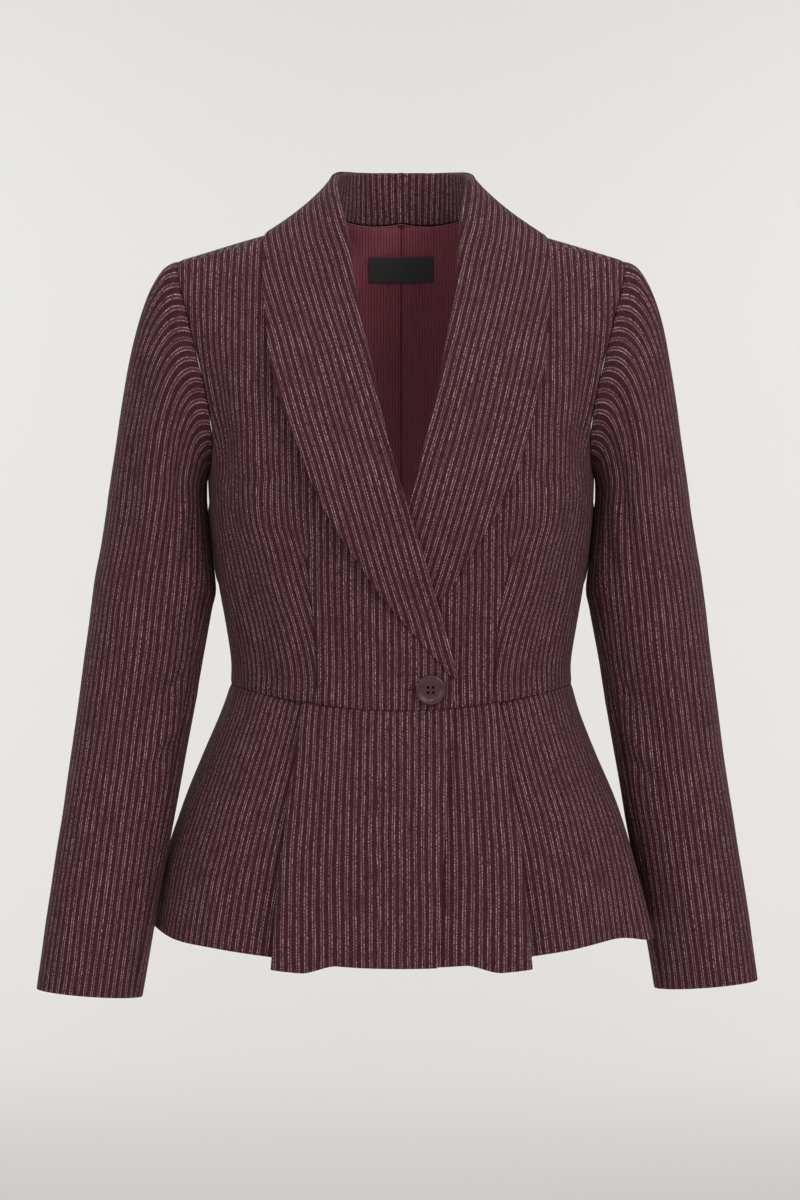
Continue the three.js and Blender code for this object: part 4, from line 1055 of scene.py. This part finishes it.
def lining_piece(side):
    last, count = 90, 60
    rows = spread(last, 0.02, LINING_LAST_ROW)
    grid = []
    spots = []
    for row in rows:
        line = []
        for share in spread(count, 0, LINING_SHARE):
            x = x_at("back", row, share)
            edge = min(abs(x_at("back", 0, share)) / NECK_HALF, 1)
            line.append((mix(NECK_ROW * (1 - edge ** NECK_BELL), WAIST_ROW, row / WAIST_ROW), x))
        spots.append(line)
    base = [[place(side, body_point("back", side, *spot)) for spot in line] for line in spots]
    for r, line in enumerate(base):
        made = []
        for c, point in enumerate(line):
            right = line[min(c + 1, count)] - line[max(c - 1, 0)]
            down = base[min(r + 1, last)][c] - base[max(r - 1, 0)][c]
            normal = down.cross(right).normalized() * side
            if normal.y > 0:
                normal.negate()
            up = Vector((0, 0, LINING_RAISE if r == 0 else 0))
            made.append(point + normal * LINING_FACE + up)
        grid.append(made)

    def cloth_uv(r, c, middle_row, middle):
        return (spots[r][c][1], grid[r][c].z)

    creases = table(
        CREASES,
        (9, 10, 12, -120, 1.4, 5), (26, -35, 31, -220, 1.0, 7), (46, 0, 50, -200, -1.2, 8),
        (58, 14, 30, -22, 1.6, 5), (60, -6, 38, -52, -1.4, 5),
    )

    def relief(r, c):
        x, z = spots[r][c][1], grid[r][c].z
        return -crease_height(creases, x, z) - crease_height(BODY_CREASES["back", side], x, z)

    piece = cloth(
        f"lining_back_{NAMES[side]}_cloth", grid, cloth_uv, (SATIN,), LINING,
        sewn=("start",), relief=relief, flip=side == LEFT,
    )
    return dress(piece, "satin_lining", f"lining_back_{NAMES[side]}")


def label_piece():
    """Bare ribbon just off the lining, with no seam built along its two short ends where the real one is
    sewn down.
    """
    low, high = [Vector(corner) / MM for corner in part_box("label")]
    grid = []
    for z in spread(20, high.z, low.z):
        line = []
        for x in spread(56, low.x, high.x):
            point = body_point("back", LEFT, row_at("back", LEFT, abs(x), z), x)
            line.append(point + Vector((0, -(CLOTH / 2 + SEAM + LINING + SEAM + LABEL_OUT), 0)))
        grid.append(line)

    def cloth_uv(r, c, middle_row, middle):
        return (grid[r][c].x, grid[r][c].z)

    piece = cloth("label_ribbon", grid, cloth_uv, (RIBBON,), 0.6, flip=True)
    return dress(piece, "label_ribbon", "label")


linings = {side: lining_piece(side) for side in (RIGHT, LEFT)}
label = label_piece()


# Sleeves
def walk(half):
    rows = spread(400, 0, UNDERARM_ROW - 1e-6)
    points = [Vector([row_end(half, row)[axis] for axis in "xyz"]) for row in rows]
    run = lengths(points)

    def read(share):
        length = share * run[-1]
        i = 1
        while i < len(run) - 1 and run[i] < length:
            i += 1
        return mix(rows[i - 1], rows[i], (length - run[i - 1]) / (run[i] - run[i - 1]))

    return read


armhole_row = {"front": walk("front"), "back": walk("back")}


def sleeve_ring(side, z, angle):
    section = sleeve_at(z)
    ahead = sleeve_at(max(z - 5, CUFF_Z))
    behind = sleeve_at(min(z + 5, CAP_END_Z))
    axis = Vector((ahead["x"] - behind["x"], 0, -10)).normalized()
    turn = math.radians(angle)
    narrow = LEFT_NARROW * smooth(z, CUFF_Z, -390) if side == LEFT else 0
    half = section["out"] - narrow if math.cos(turn) > 0 else section["in"]
    forward = LEFT_FORWARD if side == LEFT else 1
    top = SLEEVES[0]["y"]
    point = Vector((section["x"], mix(top, section["y"], forward), z))
    point += Vector((-axis.z, 0, axis.x)) * half * math.cos(turn)
    point.y -= section["deep"] * math.sin(turn)
    point.z = mix(z, point.z, smooth(-z, -CAP_END_Z, 306))
    return point


def clearance(run, leave):
    cosine = clamp(run.dot(leave), -0.6, 1)
    return CLOTH / 2 * math.sqrt((1 - cosine) / (1 + cosine))


def sleeve_cap(side, share, angle):
    around = angle % 360
    half = "front" if around <= 180 else "back"
    row = armhole_row[half]((around if around <= 180 else 360 - around) / 180)
    seam = row_end(half, row)
    start = Vector((seam["x"], seam["y"], seam["z"]))
    inside = body_point(half, side, row, x_at(half, row, 0.96))
    run = (start - inside).normalized()
    turn = math.radians(around)
    leave = Vector((1, -0.25 * math.sin(turn), -0.2 * math.cos(turn))).normalized()
    start += leave * (SEAM + clearance(run, leave) * 0.8)
    if 120 < around < 240:
        start.z += CLOTH / 2 * smooth(-abs(around - 180), -60, -20)
    end = sleeve_ring(side, CAP_END_Z, angle)
    reach = (end - start).length
    land = Vector((0.15 * max(math.cos(turn), 0), 0, -1)).normalized()
    s = share
    return (
        start * (1 + 2 * s) * (1 - s) ** 2
        + end * s * s * (3 - 2 * s)
        + leave * 0.5 * reach * s * (1 - s) ** 2
        + land * 1.4 * reach * s * s * (s - 1)
    )


SLEEVE_TURN = 0.84  # mm of cloth to a degree, at the middle of the arm
CAP_LEAN = 8  # mm that the stripes lean where the cap is eased into the armhole
CAP_LEAN_OVER = 18  # mm over which they come back to the line of the arm


def sleeve_piece(side, kind):
    start, end, count, reference = {
        "upper": (SLEEVE_SEAMS[1] - 360, SLEEVE_SEAMS[0], 110, 40),
        "under": (SLEEVE_SEAMS[0], SLEEVE_SEAMS[1], 44, 196),
    }[kind]
    even = spread(count, start, end)
    eased = [mix(start, end, smooth(i, 0, count)) for i in range(count + 1)]
    angles = [mix(a, b, 0.25) for a, b in zip(even, eased)]
    caps = [mix(s, s * s, 0.4) for s in spread(34, 0, 1)][:-1]
    levels = spread(96, CAP_END_Z, CUFF_Z)
    grid = [[place(side, sleeve_cap(side, share, angle)) for angle in angles] for share in caps]
    grid += [[place(side, sleeve_ring(side, z, angle)) for angle in angles] for z in levels]
    runs = [lengths(line) for line in grid]
    pin = min(range(count + 1), key=lambda c: abs(angles[c] - reference))
    drops_at = [lengths([line[c] for line in grid]) for c in range(count + 1)]
    drops = drops_at[pin]

    def cloth_uv(r, c, middle_row, middle):
        by_length = runs[r][c] - runs[r][pin]
        by_turn = (angles[c] - angles[pin]) * SLEEVE_TURN
        cap = 1 - smooth(r, len(caps) - 8, len(caps) + 16)
        from_top = (angles[c] + 180) % 360 - 180
        lean = math.copysign(CAP_LEAN * smooth(abs(from_top), 5, 60), from_top)
        return (mix(by_length, by_turn, cap) - lean * math.exp(-drops_at[c][r] / CAP_LEAN_OVER), -drops[r])

    def relief(r, c):
        a = angles[c] % 360
        height = crease_height(SLEEVE_CREASES[side], a, grid[r][c].z, SLEEVE_TURN)
        head = bump(drops[r] - 9, 7) * max(math.cos(math.radians(a - 20)), 0) * 0.6
        return height + head

    def facing(middle_row, middle):
        return grid[int(middle_row)][0].z < CUFF_Z + TURN_UP

    piece = cloth(
        f"{kind}_sleeve_{NAMES[side]}_cloth", grid, cloth_uv, SHELL, CLOTH,
        sewn=("first", "start", "end"), relief=relief, flip=side == RIGHT, facing=facing,
    )
    return dress(piece, "suiting", f"{kind}_sleeve_{NAMES[side]}")


sleeves = {(side, kind): sleeve_piece(side, kind) for side in (RIGHT, LEFT) for kind in ("upper", "under")}


# Peplum
def ring_point(half, side, down, x, out, drop):
    ring = ring_at(down)
    reach = ring[NAMES[side]]
    centre = ring["front"] if half == "front" else ring["back"]
    centre_z = ring["frontZ"] if half == "front" else ring["backZ"]
    share = min(abs(x) / reach, 1)
    depth = max(1 - share ** PEPLUM_SQUARE, 0) ** (1 / PEPLUM_SQUARE)
    power = PEPLUM_SQUARE - 1
    normal = Vector((math.copysign(share ** power / reach, x), depth ** power / centre, 0)).normalized()
    z = mix(centre_z, ring["sideZ"], share ** 2) - drop
    return Vector((x, centre * depth, z)) + normal * out


def flute_out(half, side, down, degrees):
    waves = [flute for flute in FLUTES if flute["half"] == half and flute["side"] == side]
    return sum(flute["high"] * down ** 2 * bump(degrees - flute["at"], flute["width"]) for flute in waves)


OUTER, TURN_COUNT, RETURN_COUNT, SIDE_COUNT = 54, 8, 8, 48
FOLD_FAN = 10  # mm that the stripes lean toward the pleat's fold at the hem


def peplum_row(half, side, down):
    ring = ring_at(down)
    fold, turn, reach = ring["fold"], ring["turn"], ring[NAMES[side]]
    edge = mix(*FRONT_EDGE, down) if half == "front" else 0
    row = []
    for x in spread(OUTER, edge, fold):
        near = smooth(x, fold - PLEAT_EASE, fold)
        drop = PLEAT_DROP * down * smooth(x, fold - PLEAT_EASE, fold - 18)
        out = 2 * turn * near + lap_lift(half, side, x, ring["frontZ"])
        row.append(ring_point(half, side, down, x, out, drop))
    inner = fold - PLEAT_RETURN

    def fall(x):
        return PLEAT_DROP * down * clamp((x - inner) / PLEAT_RETURN, 0, 1)

    for angle in spread(TURN_COUNT, 0, math.pi)[1:]:
        x = fold + turn * math.sin(angle)
        row.append(ring_point(half, side, down, x, turn * (1 + math.cos(angle)), fall(x)))
    for x in spread(RETURN_COUNT, fold, inner)[1:]:
        row.append(ring_point(half, side, down, x, 0, fall(x)))
    for angle in spread(TURN_COUNT, 0, math.pi)[1:]:
        x = inner - turn * math.sin(angle)
        row.append(ring_point(half, side, down, x, -turn * (1 - math.cos(angle)), fall(x)))
    first = math.asin((inner / reach) ** (PEPLUM_SQUARE / 2))
    for angle in spread(SIDE_COUNT, first, math.pi / 2)[1:]:
        x = reach * math.sin(angle) ** (2 / PEPLUM_SQUARE)
        under = -2 * turn * (1 - smooth(x, fold - 4, fold + PLEAT_EASE))
        flute = flute_out(half, side, down, math.degrees(angle))
        row.append(ring_point(half, side, down, x, under + flute, FLUTE_FALL * flute))
    return [place(side, point) for point in row]


def peplum_piece(half, side):
    downs = [mix(i / 70, smooth(i, 0, 70), 0.3) for i in range(71)]
    grid = [peplum_row(half, side, down) for down in downs]
    waist, hem = grid[0], grid[-1]
    break_at = OUTER + TURN_COUNT + RETURN_COUNT
    grain_x = 18 if half == "front" else 0
    edge_top, edge_hem = FRONT_EDGE if half == "front" else (0, 0)
    grain_top = OUTER * (grain_x - edge_top) / (PEPLUM[0]["fold"] - edge_top)
    grain_hem = OUTER * (grain_x - edge_hem) / (PEPLUM[-1]["fold"] - edge_hem)
    outer_flat = turned(*unroll(waist[:break_at + 1], hem[:break_at + 1]), grain_top, grain_hem)
    last = len(waist) - 1
    side_start = break_at
    side_middle = (last - side_start) // 2
    side_flat = turned(*unroll(waist[side_start:], hem[side_start:]), side_middle, side_middle)
    runs = [lengths([line[c] for line in grid]) for c in range(last + 1)]
    runs_across = [lengths(line) for line in grid]
    middle_run = runs_across[len(grid) // 2]

    def cloth_uv(r, c, middle_row, middle):
        share = runs[c][r] / runs[c][-1]
        if middle < break_at:
            flat_a, flat_b = outer_flat
            point = flat_a[min(c, break_at)].lerp(flat_b[min(c, break_at)], share)
            fanned = FOLD_FAN * share * smooth(c, 0.3 * OUTER, OUTER)
            return (point.x - math.copysign(fanned, point.x), point.y)
        flat_a, flat_b = side_flat
        point = flat_a[max(c - side_start, 0)].lerp(flat_b[max(c - side_start, 0)], share)
        fan = middle_run[c] - middle_run[(side_start + last) // 2]
        sign = 1 if flat_a[-1].x > flat_a[0].x else -1
        return (mix(point.x, sign * fan, 0.5), point.y)

    def relief(r, c):
        down = downs[r]
        point = grid[r][c]
        wave = 0.9 * down * math.sin(point.x / 17 + 2.0 * down) if c < OUTER - 8 else 0
        return wave + ripple(point, 60, 0.6)

    def facing(middle_row, middle):
        turned_up = downs[int(middle_row)] > 1 - TURN_UP / 205
        return turned_up or (half == "front" and runs_across[int(middle_row)][int(middle)] < 60)

    piece = cloth(
        f"peplum_{half}_{NAMES[side]}_cloth", grid, cloth_uv, SHELL, FACING,
        sewn=("first", "end") + (("start",) if half == "back" else ()),
        relief=relief, flip=(half == "front") == (side == LEFT), facing=facing,
    )
    return dress(piece, "suiting", f"peplum_{half}_{NAMES[side]}")


peplums = {(half, side): peplum_piece(half, side) for half in ("front", "back") for side in (RIGHT, LEFT)}


# Button
def button_piece():
    """Turned resin disc with a raised rim and four holes."""
    low, high = BUTTON_BOX
    middle = (low + high) / 2
    radius = (high.x - low.x) / 2
    thick = 4 * MM
    front = low.y
    profile = [
        (0, 0), (0.9, 0), (0.965, 0.12), (1, 0.45), (0.985, 0.78), (0.93, 0.96), (0.87, 1), (0.82, 0.96),
        (0.775, 0.8), (0.74, 0.72), (0.4, 0.74), (0, 0.75),
    ]
    bm = bmesh.new()
    verts = [bm.verts.new((r * radius, 0, -t * thick)) for r, t in profile]
    edges = [bm.edges.new(pair) for pair in zip(verts, verts[1:])]
    bmesh.ops.spin(
        bm, geom=verts + edges, cent=(0, 0, 0), axis=(0, 0, 1), angle=2 * math.pi, steps=96, use_merge=True,
    )
    bmesh.ops.remove_doubles(bm, verts=bm.verts, dist=1e-6)
    bmesh.ops.recalc_face_normals(bm, faces=bm.faces)
    for vert in bm.verts:
        x, y, t = vert.co
        vert.co = Vector((middle.x + x, front + thick + t, middle.z + y))
    bmesh.ops.recalc_face_normals(bm, faces=bm.faces)
    mesh = bpy.data.meshes.new("button_disc")
    bm.to_mesh(mesh)
    bm.free()
    disc = bpy.data.objects.new("button_disc", mesh)
    bpy.context.scene.collection.objects.link(disc)
    drill = bmesh.new()
    pitch = 2.1 * MM
    for dx in (-pitch, pitch):
        for dz in (-pitch, pitch):
            made = bmesh.ops.create_cone(
                drill, cap_ends=True, segments=24, radius1=1.15 * MM, radius2=1.15 * MM, depth=4 * thick,
            )["verts"]
            bmesh.ops.rotate(drill, verts=made, cent=(0, 0, 0), matrix=Matrix.Rotation(math.pi / 2, 3, "X"))
            bmesh.ops.translate(drill, verts=made, vec=(middle.x + dx, middle.y, middle.z + dz))
    drill_mesh = bpy.data.meshes.new("button_drill")
    drill.to_mesh(drill_mesh)
    drill.free()
    cutter = bpy.data.objects.new("button_drill", drill_mesh)
    bpy.context.scene.collection.objects.link(cutter)
    cut = disc.modifiers.new("holes", "BOOLEAN")
    cut.operation = "DIFFERENCE"
    cut.solver = "EXACT"
    cut.object = cutter
    depsgraph = bpy.context.evaluated_depsgraph_get()
    finished = bpy.data.meshes.new_from_object(disc.evaluated_get(depsgraph))
    disc.modifiers.remove(cut)
    disc.data = finished
    bpy.data.objects.remove(cutter)
    for face in finished.polygons:
        face.use_smooth = True
    finished.materials.clear()
    finished.materials.append(RESIN)
    edge = disc.modifiers.new("worn edge", "BEVEL")
    edge.limit_method = "ANGLE"
    edge.angle_limit = math.radians(40)
    edge.width = 0.12 * MM
    edge.segments = 2
    edge.profile = 0.5
    return dress(disc, "button_resin", "button")


button_piece()


def stitches(name, spots, long, thick):
    """Row of thread stitches, each a small rounded bar that lies on the cloth."""
    bm = bmesh.new()
    for spot in spots:
        made = bmesh.ops.create_uvsphere(bm, u_segments=10, v_segments=8, radius=1)["verts"]
        bmesh.ops.scale(bm, vec=(thick / 2 * MM, thick / 2 * MM, long / 2 * MM), verts=made)
        bmesh.ops.translate(bm, verts=made, vec=spot * MM)
    for face in bm.faces:
        face.smooth = True
    mesh = bpy.data.meshes.new(name)
    bm.to_mesh(mesh)
    bm.free()
    mesh.materials.append(THREAD)
    made = bpy.data.objects.new(name, mesh)
    bpy.context.scene.collection.objects.link(made)
    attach(made, "root")


def on_front(x, z):
    """Place on the outside of the right front's cloth."""
    point = body_point("front", RIGHT, row_at("front", RIGHT, x, z), x)
    return place(RIGHT, point) + Vector((0, -CLOTH / 2 - 0.15, 0))


HOLE_STITCHES = 8
HOLE_SHOWS = 6.4  # mm of the buttonhole that shows beside the button
HOLE_ROW = 0.75  # mm from one stitch to the next
HOLE_LEVEL = 0.3  # mm above the button's middle


def buttonhole():
    low, high = BUTTON_BOX
    start = low.x / MM - HOLE_SHOWS
    z = (low.z + high.z) / 2 / MM + HOLE_LEVEL
    spots = [on_front(-(start + i * HOLE_ROW), z) for i in range(HOLE_STITCHES)]
    stitches("buttonhole_stitches", spots, 1.5, 0.6)


buttonhole()


# Cut sizes of the sheets: width and length in metres of the rectangle that each is cut from
CUTS = {
    "front": (0.25, 0.44),
    "back": (0.22, 0.43),
    "collar_lapel": (0.13, 0.52),
    "upper": (0.25, 0.62),
    "under": (0.10, 0.50),
    "peplum": (0.34, 0.23),
    "lining_back": (0.17, 0.35),
    "stand": (0.31, 0.045),
    "label": (0.057, 0.022),
}
LEAST_AREA = 0.31  # least share of that rectangle that a sheet may be said to fill


def area_of(piece):
    depsgraph = bpy.context.evaluated_depsgraph_get()
    mesh = piece.evaluated_get(depsgraph).to_mesh()
    total = sum(face.area for face in mesh.polygons) / 2
    piece.evaluated_get(depsgraph).to_mesh_clear()
    return total


sheets = []
for (half, side), piece in body_pieces.items():
    sheets.append((piece, CUTS[half]))
for side, piece in collars.items():
    sheets.append((piece, CUTS["collar_lapel"]))
for (side, kind), piece in sleeves.items():
    sheets.append((piece, CUTS[kind]))
for (half, side), piece in peplums.items():
    sheets.append((piece, CUTS["peplum"]))
for side, piece in linings.items():
    sheets.append((piece, CUTS["lining_back"]))
sheets.append((stand, CUTS["stand"]))
sheets.append((label, CUTS["label"]))
for piece, flat in sheets:
    area = area_of(piece)
    whole = flat[0] * flat[1]
    area = clamp(area, LEAST_AREA * whole, whole)


# Stage, light and camera
FLOOR_Z = -1.45
FLOOR_RUN = 14
WALL_Y = 8
SWEEP_RADIUS = 2


def stage():
    """Pale seamless sweep, far enough below and behind that it takes no hard shadow."""
    bm = bmesh.new()
    bmesh.ops.create_grid(bm, x_segments=1, y_segments=60, size=1)
    for vert in bm.verts:
        share = (vert.co.y + 1) / 2
        x = vert.co.x * 12
        bend = SWEEP_RADIUS * math.pi / 2
        run = share * (FLOOR_RUN + 2 * bend)
        if run < FLOOR_RUN:
            spot = (x, WALL_Y - SWEEP_RADIUS - FLOOR_RUN + run, FLOOR_Z)
        elif run < FLOOR_RUN + bend:
            turn = (run - FLOOR_RUN) / SWEEP_RADIUS
            y = WALL_Y - SWEEP_RADIUS * (1 - math.sin(turn))
            spot = (x, y, FLOOR_Z + SWEEP_RADIUS * (1 - math.cos(turn)))
        else:
            spot = (x, WALL_Y, FLOOR_Z + SWEEP_RADIUS + (run - FLOOR_RUN - bend))
        vert.co = spot
    for face in bm.faces:
        face.smooth = True
    mesh = bpy.data.meshes.new("paper_sweep")
    bm.to_mesh(mesh)
    bm.free()
    sweep = bpy.data.objects.new("paper_sweep", mesh)
    bpy.context.scene.collection.objects.link(sweep)
    paper = material("pale_backdrop_paper")
    tree = paper.node_tree
    shader = add(tree, "BsdfPrincipled", None, {"Base Color": colour("#e8e7e5"), "Roughness": 0.95})
    add(tree, "OutputMaterial", None, {"Surface": shader})
    mesh.materials.append(paper)


def lamp(name, place_at, size, power, aim=(0, 0, -0.3)):
    data = bpy.data.lights.new(name, "AREA")
    data.shape = "DISK"
    data.size = size
    data.energy = power
    made = bpy.data.objects.new(name, data)
    made.location = place_at
    made.rotation_euler = (Vector(aim) - Vector(place_at)).to_track_quat("-Z", "Y").to_euler()
    bpy.context.scene.collection.objects.link(made)


def camera():
    data = bpy.data.cameras.new("camera")
    data.lens = 100
    data.sensor_width = 36
    data.sensor_fit = "AUTO"
    made = bpy.data.objects.new("camera", data)
    made.location = (-0.001, -2.8, -0.306)
    made.rotation_euler = (math.pi / 2, 0, 0)
    bpy.context.scene.collection.objects.link(made)
    bpy.context.scene.camera = made


stage()
lamp("key", (1.5, -2.3, 1.3), 1.5, 33)
lamp("fill", (-1.9, -2.4, 0.5), 2.2, 11)
lamp("top", (0, 0.3, 2.6), 2.0, 16)
lamp("neck", (0, -2.6, 0.9), 0.5, 3, aim=(0, 0, -0.1))
lamp("back", (-1.6, 2.6, 1.5), 1.6, 16)
lamp("backdrop left", (-2.8, WALL_Y - 3.1, 1.2), 1.4, 52, aim=(-0.4, WALL_Y, -0.2))
lamp("backdrop right", (2.8, WALL_Y - 3.1, 1.2), 1.4, 52, aim=(0.4, WALL_Y, -0.2))
camera()
world = bpy.data.worlds.new("studio")
bpy.context.scene.world = world
world.use_nodes = True
world.node_tree.nodes["Background"].inputs["Color"].default_value = colour("#f2f1ef")
world.node_tree.nodes["Background"].inputs["Strength"].default_value = 0.5
bpy.context.scene.view_settings.view_transform = "Standard"
